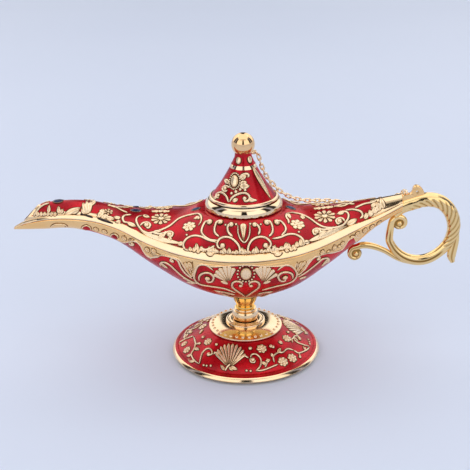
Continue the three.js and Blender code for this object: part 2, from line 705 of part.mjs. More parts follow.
function thumbRestGeometry() {
  const outline = new THREE.Shape();
  outline.moveTo(0, 0);
  outline.lineTo(0, THUMB_FRONT_HEIGHT);
  outline.lineTo(THUMB_PEAK_REACH / 2, THUMB_FRONT_HEIGHT);
  outline.quadraticCurveTo(THUMB_PEAK_REACH * THUMB_ROUND, THUMB_PEAK, THUMB_PEAK_REACH, THUMB_PEAK);
  outline.quadraticCurveTo(THUMB_LENGTH, THUMB_PEAK, THUMB_LENGTH, THUMB_FRONT_HEIGHT);
  outline.lineTo(THUMB_LENGTH, THUMB_FRONT_HEIGHT / 2);
  outline.closePath();
  const hole = new THREE.Path();
  hole.absarc(THUMB_PEAK_REACH + THUMB_HOLE, (THUMB_FRONT_HEIGHT + THUMB_PEAK) / 2, THUMB_HOLE, 0, 2 * Math.PI);
  outline.holes.push(hole);
  const plate = new THREE.ExtrudeGeometry(outline, { depth: THUMB_THICKNESS, bevelEnabled: false, curveSegments: 6 });
  plate.translate(0, 0, -THUMB_THICKNESS / 2).rotateX(Math.PI / 2);
  plate.translate(handleStart.x, 0, handleStart.z);
  const turn = -360 / EYELET_STEPS;
  const circle = Array.from({ length: EYELET_STEPS }, (_, i) => onCircle(eyeletPlace, EYELET_RADIUS, turn * i));
  const eyelet = roundBar(circle, circle.map(() => EYELET_BAR), 6, true);
  return cut(joined(plate, eyelet), armGeometry(SEAT_GAP));
}

// Chain

const linkHalf = (LINK_INNER_LENGTH + LINK_WIRE) / 2;

function linkGeometry() {
  const bend = (LINK_INNER_WIDTH + LINK_WIRE) / 2;
  const points = [];
  for (const side of [1, -1]) {
    const centre = new THREE.Vector3(side * (linkHalf - bend), 0, 0);
    for (let i = 0; i <= LINK_ARC_STEPS; i += 1) {
      points.push(onCircle(centre, bend, (side > 0 ? 90 : 270) - (180 * i) / LINK_ARC_STEPS));
    }
  }
  return roundBar(points, points.map(() => LINK_WIRE / 2), LINK_SIDES, true);
}

function chainCurve() {
  const tabHeight = lidBase + tabBottom + TAB_THICKNESS / 2;
  const eye = new THREE.Vector3(TAB_EYE_REACH * Math.cos(TAB_ANGLE), TAB_EYE_REACH * Math.sin(TAB_ANGLE), tabHeight);
  const arch = eyeletPlace.clone().add(new THREE.Vector3(0, 0, EYELET_RADIUS));
  arch.y -= linkHalf - LINK_INNER_LENGTH / 4;
  const places = CHAIN_ROUTE.map((place) => new THREE.Vector3(...place));
  const leave = arch.clone();
  leave.y += 2 * linkHalf;
  return new THREE.CatmullRomCurve3([eye, ...places, leave, arch], false, "centripetal");
}

// Links along the route, each turned a quarter about the chain from the one before
function addChain(group) {
  const curve = chainCurve();
  curve.arcLengthDivisions = 2000;
  const length = curve.getLength();
  const pitch = (length - 2 * linkHalf) / (LINK_COUNT - 1);
  for (let i = 0; i < LINK_COUNT; i += 1) {
    const share = (linkHalf + i * pitch) / length;
    const along = curve.getTangentAt(share);
    const flat = new THREE.Vector3(-along.y, along.x, 0).normalize();
    const upright = new THREE.Vector3().crossVectors(along, flat);
    const turn = new THREE.Matrix4();
    if (i % 2 === 0) {
      turn.makeBasis(along, flat, upright);
    } else {
      turn.makeBasis(along, upright.negate(), flat);
    }
    const link = gilded(group, `chain_link_${String(i + 1).padStart(2, "0")}`, linkGeometry());
    link.quaternion.setFromRotationMatrix(turn);
    link.position.copy(curve.getPointAt(share));
  }
}

const lamp = new THREE.Group();
piece(lamp, "foot_pad", padGeometry(), FELT, 0.95, 0);
enamelled(lamp, "foot", footGeometry());
steel(lamp, "bolt_washer", washerGeometry());
steel(lamp, "stem_bolt", boltGeometry());
gilded(lamp, "beaded_collar", beadedCollarGeometry());
gilded(lamp, "stem", stemGeometry());

const body = new THREE.Group();
body.position.z = bodyBase;
lamp.add(body);
const nutHole = rod(boltHole, nutBottom - CUT_OVERRUN, nutBottom + NUT_HEIGHT + CUT_OVERRUN);
steel(body, "stem_nut", cut(hexagon(NUT_RADIUS, nutBottom, nutBottom + NUT_HEIGHT), nutHole));
enamelled(body, "lower_shell", lowerShellGeometry());
enamelled(body, "upper_shell", upperShellGeometry());
gilded(body, "neck_collar", neckCollarGeometry());
gilded(body, "handle", handleGeometry());
gilded(body, "thumb_rest", thumbRestGeometry());
addChain(body);

const lid = new THREE.Group();
lid.position.z = lidBase;
body.add(lid);
enamelled(lid, "lid_shell", lidGeometry());
gilded(lid, "chain_tab", tabGeometry());
gilded(lid, "knob", knobGeometry());
steel(lid, "knob_screw", knobScrewGeometry());

export default lamp;
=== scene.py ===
# Looks of the footed genie lamp: smooth enamelled shells, raised gold scrolls, turned gold pieces, a
# scrolled handle and a chain of wire links. Sizes are in millimetres and turned to metres where a mesh is
# made, unless a comment says otherwise.

import math

import bpy
import numpy as np
from mathutils import Matrix, Vector
from mathutils.bvhtree import BVHTree


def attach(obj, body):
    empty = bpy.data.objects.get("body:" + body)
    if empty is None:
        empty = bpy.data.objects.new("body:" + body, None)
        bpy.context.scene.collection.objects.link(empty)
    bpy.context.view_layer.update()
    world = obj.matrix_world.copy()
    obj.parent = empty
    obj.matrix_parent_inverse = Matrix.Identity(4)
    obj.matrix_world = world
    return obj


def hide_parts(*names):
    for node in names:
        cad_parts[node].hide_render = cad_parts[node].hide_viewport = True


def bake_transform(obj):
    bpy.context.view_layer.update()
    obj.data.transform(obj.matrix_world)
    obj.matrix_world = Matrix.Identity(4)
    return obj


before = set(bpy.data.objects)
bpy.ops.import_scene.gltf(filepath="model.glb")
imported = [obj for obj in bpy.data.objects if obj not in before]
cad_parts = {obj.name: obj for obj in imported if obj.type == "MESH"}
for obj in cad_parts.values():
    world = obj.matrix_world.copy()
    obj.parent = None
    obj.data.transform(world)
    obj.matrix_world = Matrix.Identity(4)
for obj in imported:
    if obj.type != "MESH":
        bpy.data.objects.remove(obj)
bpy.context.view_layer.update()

MM = 0.001
SEAT_GAP = 0.3

# Light: share of the world's strength for its panels, the gaps between them, the far sides, the ceiling and
# the haze over the horizon, with the places where each begins or ends, and the lamp with its place in metres
PANEL_LIGHT = (1.08, 1.08, 1.08)
GAP_LIGHT = (0.02, 0.02, 0.02)
SIDE_GAP_LIGHT = (0.03, 0.03, 0.03)
SIDE_LIGHT = (0.42, 0.46, 0.68)
CEILING_LIGHT = (0.55, 0.55, 0.55)
HAZE_LIGHT = (0.57, 0.61, 0.73)
PANEL_STOPS = [
    (0, GAP_LIGHT), (0.12, GAP_LIGHT), (0.16, PANEL_LIGHT), (0.68, PANEL_LIGHT), (0.74, SIDE_GAP_LIGHT),
    (0.88, SIDE_GAP_LIGHT), (1, SIDE_LIGHT),
]
CEILING_EDGE = (0.72, 0.82)
HAZE_EDGE = (0.13, 0.18)
WORLD_STRENGTH = 1.2
LAMP_PLACE = (0, 0.15, 1.1)
LAMP_AIM = (0, 0.1, 0)
LAMP_SIZE = (1.5, 1.3)
LAMP_POWER = 4.0

# Half width of the floor, and tint of the light that the enamel throws back
FLOOR_REACH = 30000
ENAMEL_EDGE_TINT = (0.55, 0.22, 0.4)

# Photograph and camera
PHOTO_SIZE = 470
PHOTO_FOCUS = 959
CAMERA_PLACE = (-4.3, -413, 224)
CAMERA_DROP = 21.7
CAMERA_ROLL = -1.0
SENSOR_WIDTH = 36

# Foot, collar and stem, with levels of the stem as shares of its height
FOOT_RADIUS = 35.4
FOOT_LIFT = 0.4
FOOT_RIM_HEIGHT = 3.8
FOOT_RIM_STEP = 3.1
FOOT_RIM_MIDDLE = 2
FOOT_RIM_TUCK = 2.2
FOOT_RIM_BULGE = 0.6
FOOT_RED_HEIGHT = 3.35
FOOT_HEIGHT = 12.6
FOOT_TOP_RADIUS = 17
FOOT_DOME_BULGE = 0.3
FOOT_WALL = 1.8
FOOT_TOP_EDGE = 1
FOOT_DOME_BASE = (FOOT_RADIUS - FOOT_RIM_STEP, FOOT_RIM_HEIGHT)
PAD_RADIUS = 30.5
PAD_THICKNESS = 1.2
PAD_LEDGE = 1.6
PAD_EDGE = 0.1
PAD_INSET = 0.3
PAD_BULGE = 0.12
PAD_MIDDLE = 0.4
COLLAR_RADIUS = 17.4
COLLAR_EDGE = 1
COLLAR_EDGE_BULGE = 0.1
COLLAR_ROUNDING = 0.2
COLLAR_STEP_RADIUS = 9.3
COLLAR_DOME_HEIGHT = 2.8
COLLAR_BULGE = 0.4
COLLAR_STEP_HEIGHT = 1.3
BEAD_CIRCLE = 15.7
BEAD_RADIUS = 0.85
BEAD_COUNT = 34
BEAD_SINK = 0.35
COLLAR_ROLL_RADIUS = 7.6
COLLAR_ROLL_DEPTH = 0.5
COLLAR_ROLL_STEPS = 10
COLLAR_ROLL_CUT = 3
COLLAR_SEAT_RADIUS = 5.8
STEM_HEIGHT = 12.4
STEM_BASE_RADIUS = 6.1
STEM_RING_RADIUS = 5.3
STEM_WAIST_RADIUS = 4.1
STEM_TOP_RADIUS = 6.4
STEM_STEP = 0.5
STEM_DRUM_TOP = 0.33
STEM_RING_BOTTOM = 0.345
STEM_RING_TOP = 0.465
STEM_WAIST_BOTTOM = 0.47
STEM_WAIST_TOP = 0.55
STEM_FLARE = 0.75
BOLT_HOLE = 2.35

# Body, with heights measured from the bottom of the bowl
SPOUT_REACH = 106
TAIL_REACH = 72
BODY_WIDTH = 66
SHELL_WALL = 1.6
DOME_WALL = 1.85
RIM_BAND_WIDTH = 4.2
RIM_BAND_RISE = 0.45
RIM_BAND_CROWN = 0.35
RIM_EDGE = 0.8
RIM_OVERHANG = 0.5
RIM_TUCK = 0.32
DOME_POWER = 0.75
OVERHANG_SHARE = 0.1
WALL_SHARE = 0.55
BAND_SHARE = 0.28
BOSS_RADIUS = 6.4
BOSS_HEIGHT = 4.4
UNDER_GOLD_LENGTH = 26
UNDER_GOLD_WIDTH = 13
MOUTH_REACH = 102
MOUTH_TILT = 43
MOUTH_BLOCK = 40
NECK_HEIGHT = 43.8
NECK_RADIUS = 18.2
NECK_FLARE = 6.5
NECK_BORE = 13.2
NECK_SLEEVE_WALL = 1.2
NECK_SLEEVE_DEPTH = 3.8
NECK_BAND_RADIUS = 17.8
NECK_TOP_RADIUS = 16.2
NECK_BAND_HEIGHT = 4
NECK_BAND_BULGE = 0.5
NECK_ROUNDING = 0.3
NECK_HOLE_SIDES = 96

# Side lines of the body: share of the reach, to the spout below zero and to the tail above it, and a height
# or a share of the half width
KEEL_POINTS = [
    (-1, 34.8), (-0.87, 35.1), (-0.78, 35.6), (-0.72, 35.1), (-0.64, 32.8), (-0.54, 28.6), (-0.4, 18.3),
    (-0.2, 6), (0, 1.4), (0.29, 5.9), (0.5, 15.2), (0.72, 26.6), (0.875, 35.5), (1, 40.3),
]
SEAM_POINTS = [
    (-1, 35.8), (-0.94, 38.7), (-0.83, 41.5), (-0.68, 41.7), (-0.54, 39), (-0.4, 34), (-0.2, 30.7),
    (0, 29.9), (0.3, 31.2), (0.58, 34.4), (0.83, 38.8), (1, 44.2),
]
RIDGE_POINTS = [
    (-1, 42.8), (-0.88, 46.4), (-0.8, 48), (-0.66, 47.4), (-0.5, 42.9), (-0.33, 41.8), (-0.24, 42.7),
    (0, 49), (0.35, 42.2), (0.55, 42.5), (0.78, 45.6), (1, 48.5),
]
WIDTH_POINTS = [
    (-1, 0.035), (-0.94, 0.12), (-0.86, 0.19), (-0.75, 0.245), (-0.62, 0.32), (-0.5, 0.47), (-0.28, 0.82),
    (-0.15, 0.95), (0, 1), (0.25, 0.94), (0.42, 0.8), (0.56, 0.61), (0.7, 0.4), (0.84, 0.235), (1, 0.15),
]

# Stretches of the upper shell that are gold: the tips of spout and tail, and the lower side of the spout
GOLD_SPOUT = -99
SPOUT_SLANT = 1.05
GOLD_TAIL = 57.6
SPOUT_LEAF_END = -63
SPOUT_LEAF_COLUMNS = 6

# Lid and knob, with heights measured from the underside of the lid's flange
LID_CLEARANCE = 0.4
LID_FLANGE_RADIUS = 15.8
LID_FLANGE_HEIGHT = 1.3
LID_ROUNDING = 0.15
LID_EDGE_SLOPE = 0.5
LID_EDGE_BULGE = 0.2
LID_BASE_RADIUS = 14.6
LID_TOP_RADIUS = 3.9
LID_CONE_HEIGHT = 18
LID_CONE_SAG = 0.7
LID_WALL = 1.6
LID_TOP_THICKNESS = 1.6
LID_SKIRT_DEPTH = 5
LID_SKIRT_WALL = 1.2
LID_RING_LOW = 14.7
LID_RING_HIGH = 16.3
LID_RING_PROUD = 0.15
LID_LIP_HEIGHT = 1.9
LID_LIP_WALL = 0.8
LID_LIP_ROUNDING = 0.1
KNOB_RADIUS = 5.3
KNOB_SINK = 1.1
KNOB_POLE = 0.02
KNOB_POLE_RADIUS = 0.05
TAB_THICKNESS = 0.8
TAB_DISC_RADIUS = 3
TAB_EYE_RADIUS = 1.55
TAB_EYE_HOLE = 0.8
TAB_EYE_REACH = 5.1
TAB_EYE_SIDES = 10
TAB_JOINT = 1.3
TAB_ANGLE = 45
SCREW_HOLE = 1.6

# Handle: loop, two scrolls, brace and leaf tip, some of them placed by the photograph's pixels. Leaf
# ridges and grooves start and end at shares of the loop's length.
LOOP_RADIUS = 15
LOOP_START = 129
LOOP_ROOT = 146
LOOP_END = -166
LOOP_DROP = 2.2
LOOP_POINTS = 300
LOOP_SIDES = 48
LOOP_SHARES = [
    (-168, 1.01), (-90, 0.99), (-42, 0.94), (15, 1.02), (58, 1.07), (82, 1.02), (110, 0.955), (129, 1.02),
    (150, 1.1),
]
LOOP_BARS = [
    (-168, 0.12), (-90, 0.167), (-42, 0.16), (0, 0.2), (45, 0.22), (82, 0.227), (129, 0.213), (150, 0.213),
]
SCROLL_PIXEL = (399.4, 223.2)
SCROLL_RADIUS = 3.75
SCROLL_BAR = 1.65
SCROLL_BALL = 1.4
SCROLL_ANGLE = 186
SCROLL_TURN = 345
SCROLL_TIGHTEN = 0.5
SCROLL_TAPER = 0.72
SCROLL_WEB = 0.8
SCROLL_WEB_DEPTH = 0.22
# Height share that colours the plate inside each scroll darker, as painted shade
SCROLL_WEB_CREST = 0.3
BRACE_LINE = [
    (411, 263), (403, 260.6), (396.1, 257.6), (391, 254.4), (385.9, 251.2), (380.8, 248.8), (375.7, 246.9),
    (370.6, 245.6), (365.5, 245), (360.4, 245.4),
]
BRACE_BARS = [0.7, 0.95, 1.1, 1.2, 1.3, 1.4, 1.5, 1.55, 1.6, 1.6]
BRACE_SCROLL_PIXEL = (355.8, 253.4)
BRACE_SCROLL_RADIUS = 3.45
BRACE_SCROLL_BAR = 1.5
BRACE_SCROLL_ANGLE = 75
BRACE_BALL = 1.35
BRACE_POINTS = 150
BRACE_SIDES = 32
BRACE_GROOVE = -0.1
BRACE_GROOVE_WIDTH = 0.14
LEAF_LINE = [(456.5, 228), (455, 240), (452.6, 249), (451.2, 256), (452.6, 262)]
LEAF_WIDTHS = [1.3, 1.9, 2.2, 2.1, 1.0]
LEAF_FLATNESS = 0.75
LEAF_POINTS = 40
LEAF_SIDES = 28
LEAF_RIDGES = 32
LEAF_SLANT = 1.3
LEAF_SHARPNESS = 0.6
LEAF_START = (0.05, 0.1)
LEAF_END = (0.44, 0.47)
LEAF_COVER = -0.15
LEAF_COVER_GROWTH = 4.2
LEAF_COVER_START = 0.06
LEAF_COVER_EDGE = (-0.2, 0.15)
RIDGE_DEPTH = 0.12
GROOVE_DEPTH = 0.13
GROOVE_SHADE = 7
RING_GROOVE = -0.05
RING_GROOVE_WIDTH = 0.2
RING_START = (0.46, 0.5)
RING_END = (0.78, 0.84)
THUMB_OUTLINE = [
    (401.4, 202.5), (401.2, 195.4), (402.6, 193.8), (409.2, 193.8), (411.8, 191.8), (412.8, 187.6),
    (414.6, 185), (417.2, 184.6), (420.6, 186.2), (423, 189.2), (424.2, 193), (424.6, 197.5), (413, 200.5),
]
THUMB_FRONT_HEIGHT = 5.6
THUMB_THICKNESS = 2.8
THUMB_ROUNDING = 0.4
THUMB_EASE = 0.3
THUMB_POINTS = 60
THUMB_HOLE_PIXEL = (416.9, 191.2)
THUMB_HOLE = 0.75
EYELET_RADIUS = 1.15
EYELET_BAR = 0.4
EYELET_REACH = 1.9
HOLE_SIDES = 24

# Chain, with the places that its route goes through between its two ends
LINK_INNER_LENGTH = 2.5
LINK_INNER_WIDTH = 0.8
LINK_WIRE = 0.72
LINK_COUNT = 39
LINK_BEND_POINTS = 9
LINK_SIDES = 8
LINK_AIM = 0.2
CHAIN_ROUTE = [
    (5.1, 5.1, 68), (6.4, 6.3, 66.8), (7.3, 6.9, 64.8), (7.9, 7, 62.4), (9, 7, 59.4), (11, 7, 55.2),
    (14.6, 7, 50.8), (17.4, 7, 48.1), (21.4, 7.3, 45.6), (27, 8.1, 43.5), (34, 9.5, 42.6), (41, 11, 41.8),
    (48, 11.9, 40.3), (55, 11.2, 39.7), (62, 9.8, 40.4), (68, 8.8, 42.5), (71.8, 7.4, 45.3),
    (73.8, 4.9, 47.8),
]

# Heights that several pieces share
COLLAR_BOTTOM = FOOT_HEIGHT + SEAT_GAP
COLLAR_TOP = COLLAR_BOTTOM + COLLAR_DOME_HEIGHT + COLLAR_STEP_HEIGHT
STEM_BOTTOM = COLLAR_TOP + SEAT_GAP
BODY_BASE = STEM_BOTTOM + STEM_HEIGHT + SEAT_GAP
NECK_BOTTOM = NECK_HEIGHT + SEAT_GAP
LID_BASE = NECK_BOTTOM + NECK_BAND_HEIGHT + SEAT_GAP
LID_TOP = LID_FLANGE_HEIGHT + LID_CONE_HEIGHT
TAB_BOTTOM = LID_TOP + SEAT_GAP
KNOB_BOTTOM = TAB_BOTTOM + TAB_THICKNESS + SEAT_GAP

# Steps of the meshes, and the angle from which an edge stays sharp
TURNS = 144
STATIONS = 170
BOWL_COLUMNS = 72
DOME_COLUMNS = 22
RIM_COLUMNS = 7
SHARP_ANGLE = 40


# Smooth line through points in order of their first number
def through(points):
    at = np.array([point[0] for point in points], float)
    value = np.array([point[1] for point in points], float)
    before = np.maximum(np.arange(len(at)) - 1, 0)
    after = np.minimum(np.arange(len(at)) + 1, len(at) - 1)
    slope = (value[after] - value[before]) / (at[after] - at[before])

    def line(x):
        x = np.clip(np.asarray(x, float), at[0], at[-1])
        i = np.clip(np.searchsorted(at, x) - 1, 0, len(at) - 2)
        width = at[i + 1] - at[i]
        t = (x - at[i]) / width
        rise = (1 + 2 * t) * (1 - t) ** 2 * value[i] + t * t * (3 - 2 * t) * value[i + 1]
        return rise + width * (t * (1 - t) ** 2 * slope[i] - t * t * (1 - t) * slope[i + 1])

    return line


# The same line with its points placed along the body
def along_body(points, scale=1):
    return through([(s * (SPOUT_REACH if s < 0 else TAIL_REACH), v * scale) for s, v in points])


keel = along_body(KEEL_POINTS)
seam = along_body(SEAM_POINTS)
ridge = along_body(RIDGE_POINTS)
half_width = along_body(WIDTH_POINTS, BODY_WIDTH / 2)


# Shallow arc from one point of a profile to another, pushed out in its middle
def bulged(start, end, bulge, steps):
    a = np.array(start, float)
    b = np.array(end, float)
    chord = (b - a) / np.linalg.norm(b - a)
    control = (a + b) / 2 + 2 * bulge * np.array([chord[1], -chord[0]])
    t = np.linspace(0, 1, steps + 1)[:, None]
    points = (1 - t) ** 2 * a + 2 * t * (1 - t) * control + t * t * b
    return [tuple(point) for point in points]


# Half round from an outer radius over the top to an inner one
def rolled(outer, inner, low, high, steps):
    middle = (outer + inner) / 2
    reach = (outer - inner) / 2
    angles = np.linspace(0, math.pi, steps + 1)
    return [(middle + reach * math.cos(a), low + (high - low) * math.sin(a)) for a in angles]


# Smooth curve through points, sampled evenly by point number
def spline(points, steps):
    p = np.array(points, float)
    ends = np.vstack([2 * p[0] - p[1], p, 2 * p[-1] - p[-2]])
    out = []
    for i in range(len(p) - 1):
        a, b, c, d = ends[i:i + 4]
        for t in np.arange(steps) / steps:
            bend = (2 * a - 5 * b + 4 * c - d) * t * t + (3 * b - a - 3 * c + d) * t ** 3
            out.append(0.5 * (2 * b + (c - a) * t + bend))
    out.append(p[-1])
    return np.array(out)


# Length along a line up to each of its points
def run_of(points):
    steps = np.linalg.norm(np.diff(points, axis=0), axis=1)
    return np.concatenate([[0], np.cumsum(steps)])


# Points of a line at given lengths along it
def points_at(at, run, points):
    return np.stack([np.interp(at, run, column) for column in points.T], axis=-1)


# Materials

def new_material(name):
    material = bpy.data.materials.new(name)
    material.use_nodes = True
    return material, material.node_tree.nodes, material.node_tree.links


def noise(nodes, links, scale, detail=4.0, distortion=0.0):
    place = nodes.new("ShaderNodeTexCoord")
    texture = nodes.new("ShaderNodeTexNoise")
    texture.inputs["Scale"].default_value = scale
    texture.inputs["Detail"].default_value = detail
    texture.inputs["Distortion"].default_value = distortion
    links.new(place.outputs["Object"], texture.inputs["Vector"])
    return texture.outputs["Fac"]


def ramp(nodes, links, source, stops):
    node = nodes.new("ShaderNodeValToRGB")
    elements = node.color_ramp.elements
    while len(elements) < len(stops):
        elements.new(0.5)
    for element, (place, color) in zip(elements, stops):
        element.position = place
        element.color = (*color, 1)
    links.new(source, node.inputs["Fac"])
    return node.outputs["Color"]


def spread(nodes, links, source, low, high):
    node = nodes.new("ShaderNodeMapRange")
    node.inputs["From Min"].default_value = 0.3
    node.inputs["From Max"].default_value = 0.7
    node.inputs["To Min"].default_value = low
    node.inputs["To Max"].default_value = high
    links.new(source, node.inputs["Value"])
    return node.outputs["Result"]


def bump(nodes, links, shader, source, strength, distance):
    node = nodes.new("ShaderNodeBump")
    node.inputs["Strength"].default_value = strength
    node.inputs["Distance"].default_value = distance
    links.new(source, node.inputs["Height"])
    links.new(node.outputs["Normal"], shader.inputs["Normal"])


# Polished gold plating with faint streaks, thin spots and handling marks
def gold_material(name, dark, pale, rough_low, rough_high):
    material, nodes, links = new_material(name)
    shader = nodes["Principled BSDF"]
    shader.inputs["Metallic"].default_value = 1
    cloud = noise(nodes, links, scale=60, detail=5, distortion=0.4)
    links.new(ramp(nodes, links, cloud, [(0.3, dark), (0.7, pale)]), shader.inputs["Base Color"])
    fine = noise(nodes, links, scale=700, detail=3)
    links.new(spread(nodes, links, fine, rough_low, rough_high), shader.inputs["Roughness"])
    marks = noise(nodes, links, scale=260, detail=2)
    bump(nodes, links, shader, marks, strength=0.06, distance=0.0004)
    return material


# Cast gold, coloured by each point's height share: pale on the crests, and brown in the recesses and round
# the foot of each shape as painted shade
def relief_material(name, stops, metallic, rough_low, rough_high):
    material, nodes, links = new_material(name)
    shader = nodes["Principled BSDF"]
    shader.inputs["Metallic"].default_value = metallic
    # Height share that picks the colour, so low places get painted shade
    crest = nodes.new("ShaderNodeAttribute")
    crest.attribute_name = "crest"
    links.new(ramp(nodes, links, crest.outputs["Fac"], stops), shader.inputs["Base Color"])
    fine = noise(nodes, links, scale=900, detail=3)
    links.new(spread(nodes, links, fine, rough_low, rough_high), shader.inputs["Roughness"])
    grain = noise(nodes, links, scale=500, detail=2)
    bump(nodes, links, shader, grain, strength=0.05, distance=0.0003)
    return material


# Glossy translucent enamel over bright metal, a little cloudy
def enamel_material(name, deep, bright, metallic):
    material, nodes, links = new_material(name)
    shader = nodes["Principled BSDF"]
    shader.inputs["Metallic"].default_value = metallic
    shader.inputs["Specular IOR Level"].default_value = 0.3
    shader.inputs["Specular Tint"].default_value = (*ENAMEL_EDGE_TINT, 1)
    shader.inputs["Coat Weight"].default_value = 0.25
    shader.inputs["Coat Roughness"].default_value = 0.06
    cloud = noise(nodes, links, scale=90, detail=5, distortion=0.6)
    links.new(ramp(nodes, links, cloud, [(0.25, deep), (0.72, bright)]), shader.inputs["Base Color"])
    fine = noise(nodes, links, scale=500, detail=4)
    links.new(spread(nodes, links, fine, 0.22, 0.4), shader.inputs["Roughness"])
    waves = noise(nodes, links, scale=120, detail=3)
    bump(nodes, links, shader, waves, strength=0.1, distance=0.0008)
    return material


def felt_material():
    material, nodes, links = new_material("felt")
    shader = nodes["Principled BSDF"]
    fibre = noise(nodes, links, scale=2600, detail=6, distortion=1.5)
    stops = [(0.3, (0.05, 0.006, 0.01)), (0.7, (0.14, 0.02, 0.03))]
    links.new(ramp(nodes, links, fibre, stops), shader.inputs["Base Color"])
    shader.inputs["Roughness"].default_value = 0.95
    shader.inputs["Sheen Weight"].default_value = 0.4
    bump(nodes, links, shader, fibre, strength=0.6, distance=0.0005)
    return material


def steel_material():
    material, nodes, links = new_material("zinc_steel")
    shader = nodes["Principled BSDF"]
    shader.inputs["Metallic"].default_value = 1
    cloud = noise(nodes, links, scale=400, detail=5)
    stops = [(0.3, (0.45, 0.45, 0.44)), (0.7, (0.66, 0.66, 0.64))]
    links.new(ramp(nodes, links, cloud, stops), shader.inputs["Base Color"])
    links.new(spread(nodes, links, cloud, 0.3, 0.5), shader.inputs["Roughness"])
    bump(nodes, links, shader, cloud, strength=0.1, distance=0.0003)
    return material


GOLD = gold_material("polished_gold", (0.92, 0.66, 0.38), (0.98, 0.74, 0.50), 0.08, 0.18)
MIRROR_GOLD = gold_material("mirror_gold", (0.93, 0.69, 0.42), (0.98, 0.77, 0.53), 0.03, 0.07)
# Amber gold of the knob: painted reflection of the red and gold lamp below it
KNOB_GOLD_PAINTED_REFLECTION = gold_material("knob_gold_painted_reflection", (0.90, 0.57, 0.28), (0.96, 0.65, 0.36), 0.03, 0.07)
PALE_GOLD = gold_material("pale_gold", (0.98, 0.76, 0.50), (1.0, 0.84, 0.62), 0.08, 0.16)
# Deeper tan copy of the gold for the down-facing border and the thumb plate: painted shade
TAN_GOLD_PAINTED_SHADE = gold_material("tan_gold_painted_shade", (0.95, 0.56, 0.22), (1.0, 0.66, 0.32), 0.14, 0.24)
# Amber gold: on the stem above its ring, a painted reflection of the red body; under the bowl and on its
# boss, the plain gold there
AMBER_GOLD = gold_material("amber_gold", (0.94, 0.60, 0.18), (0.99, 0.70, 0.28), 0.1, 0.2)
DARK_GOLD = gold_material("plain_gold_inside", (0.55, 0.36, 0.14), (0.72, 0.50, 0.22), 0.35, 0.5)
# Cast golds whose dark low stops paint shade into recesses, grooves and the outline round each shape
RELIEF = relief_material("relief_gold", [
    (0.0, (0.05, 0.016, 0.005)), (0.3, (0.34, 0.17, 0.05)), (0.55, (0.92, 0.64, 0.36)),
    (0.85, (1.0, 0.78, 0.52)),
], 0.7, 0.18, 0.3)
# Lighter, warmer copy of the relief gold for the bowl: painted light against the shade and blue floor light
# under it
WARM_RELIEF_PAINTED_LIGHT = relief_material("warm_relief_gold_painted_light", [
    (0.0, (0.06, 0.02, 0.005)), (0.3, (0.44, 0.22, 0.07)), (0.5, (0.98, 0.63, 0.33)),
    (0.85, (1.0, 0.73, 0.46)),
], 0.7, 0.18, 0.3)
BORDER_RELIEF = relief_material("border_relief_gold", [
    (0.0, (0.22, 0.10, 0.03)), (0.3, (0.55, 0.30, 0.10)), (0.6, (0.97, 0.62, 0.30)),
    (0.9, (1.0, 0.74, 0.44)),
], 0.8, 0.18, 0.3)
CAST_GOLD = relief_material("cast_gold", [
    (0.0, (0.08, 0.03, 0.006)), (0.5, (0.52, 0.29, 0.08)), (0.9, (0.93, 0.66, 0.31)),
], 1.0, 0.07, 0.15)
RED = enamel_material("red_enamel", (0.27, 0.002, 0.006), (0.70, 0.012, 0.020), 0.45)
# Brighter copy of the red for the bowl: painted light that makes up for the shade on its downward faces
BOWL_RED_PAINTED_LIGHT = enamel_material("bowl_red_enamel_painted_light", (0.32, 0.003, 0.006), (0.86, 0.016, 0.020), 0.45)
# Near-black enamel for the strokes along the gaps beside the rim band: painted shade
SHADE_BLACK = enamel_material("black_painted_shade_enamel", (0.004, 0.004, 0.005), (0.02, 0.018, 0.016), 0.1)
BLUE = enamel_material("blue_enamel", (0.003, 0.014, 0.045), (0.008, 0.045, 0.12), 0.3)
FELT = felt_material()
STEEL = steel_material()


def camera_matrix():
    place = Matrix.Translation(Vector(CAMERA_PLACE) * MM)
    drop = Matrix.Rotation(math.radians(90 - CAMERA_DROP), 4, "X")
    roll = Matrix.Rotation(math.radians(CAMERA_ROLL), 4, "Z")
    return place @ drop @ roll


# Direction from the camera through a pixel
def pixel_ray(pixel):
    middle = PHOTO_SIZE / 2
    across = (pixel[0] - middle) / PHOTO_FOCUS
    up = (middle - pixel[1]) / PHOTO_FOCUS
    return (camera_matrix().to_3x3() @ Vector((across, up, -1))).normalized()


# Mesh helpers

def piece(name, verts, faces, materials, indices=None, body="body", slot="gold", sharp=SHARP_ANGLE):
    obj = mesh_object(name, verts, faces, materials)
    if indices is not None:
        obj.data.polygons.foreach_set("material_index", indices)
    smooth(obj, sharp)
    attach(obj, body)
    return obj


def mesh_object(name, verts, faces, materials):
    mesh = bpy.data.meshes.new(name)
    mesh.from_pydata([tuple(v) for v in np.asarray(verts, float) * MM], [], faces)
    for material in materials:
        mesh.materials.append(material)
    obj = bpy.data.objects.new(name, mesh)
    bpy.context.scene.collection.objects.link(obj)
    return obj


# Smooth shading, with edges sharp where the faces turn by more than an angle
def smooth(obj, angle):
    obj.data.polygons.foreach_set("use_smooth", [True] * len(obj.data.polygons))
    obj.data.set_sharp_from_angle(angle=math.radians(angle))


def set_crest(obj, values):
    crest = obj.data.attributes.new("crest", "FLOAT", "POINT")
    crest.data.foreach_set("value", np.array(values, float))


# Faces of a grid of points, wrapped round where its rows or columns close
def grid_faces(rows, columns, wrap_rows=False, wrap_columns=False, first=0):
    faces = []
    for i in range(rows if wrap_rows else rows - 1):
        for j in range(columns if wrap_columns else columns - 1):
            a = first + i * columns + j
            b = first + ((i + 1) % rows) * columns + j
            c = first + ((i + 1) % rows) * columns + (j + 1) % columns
            d = first + i * columns + (j + 1) % columns
            faces.append((a, b, c, d))
    return faces


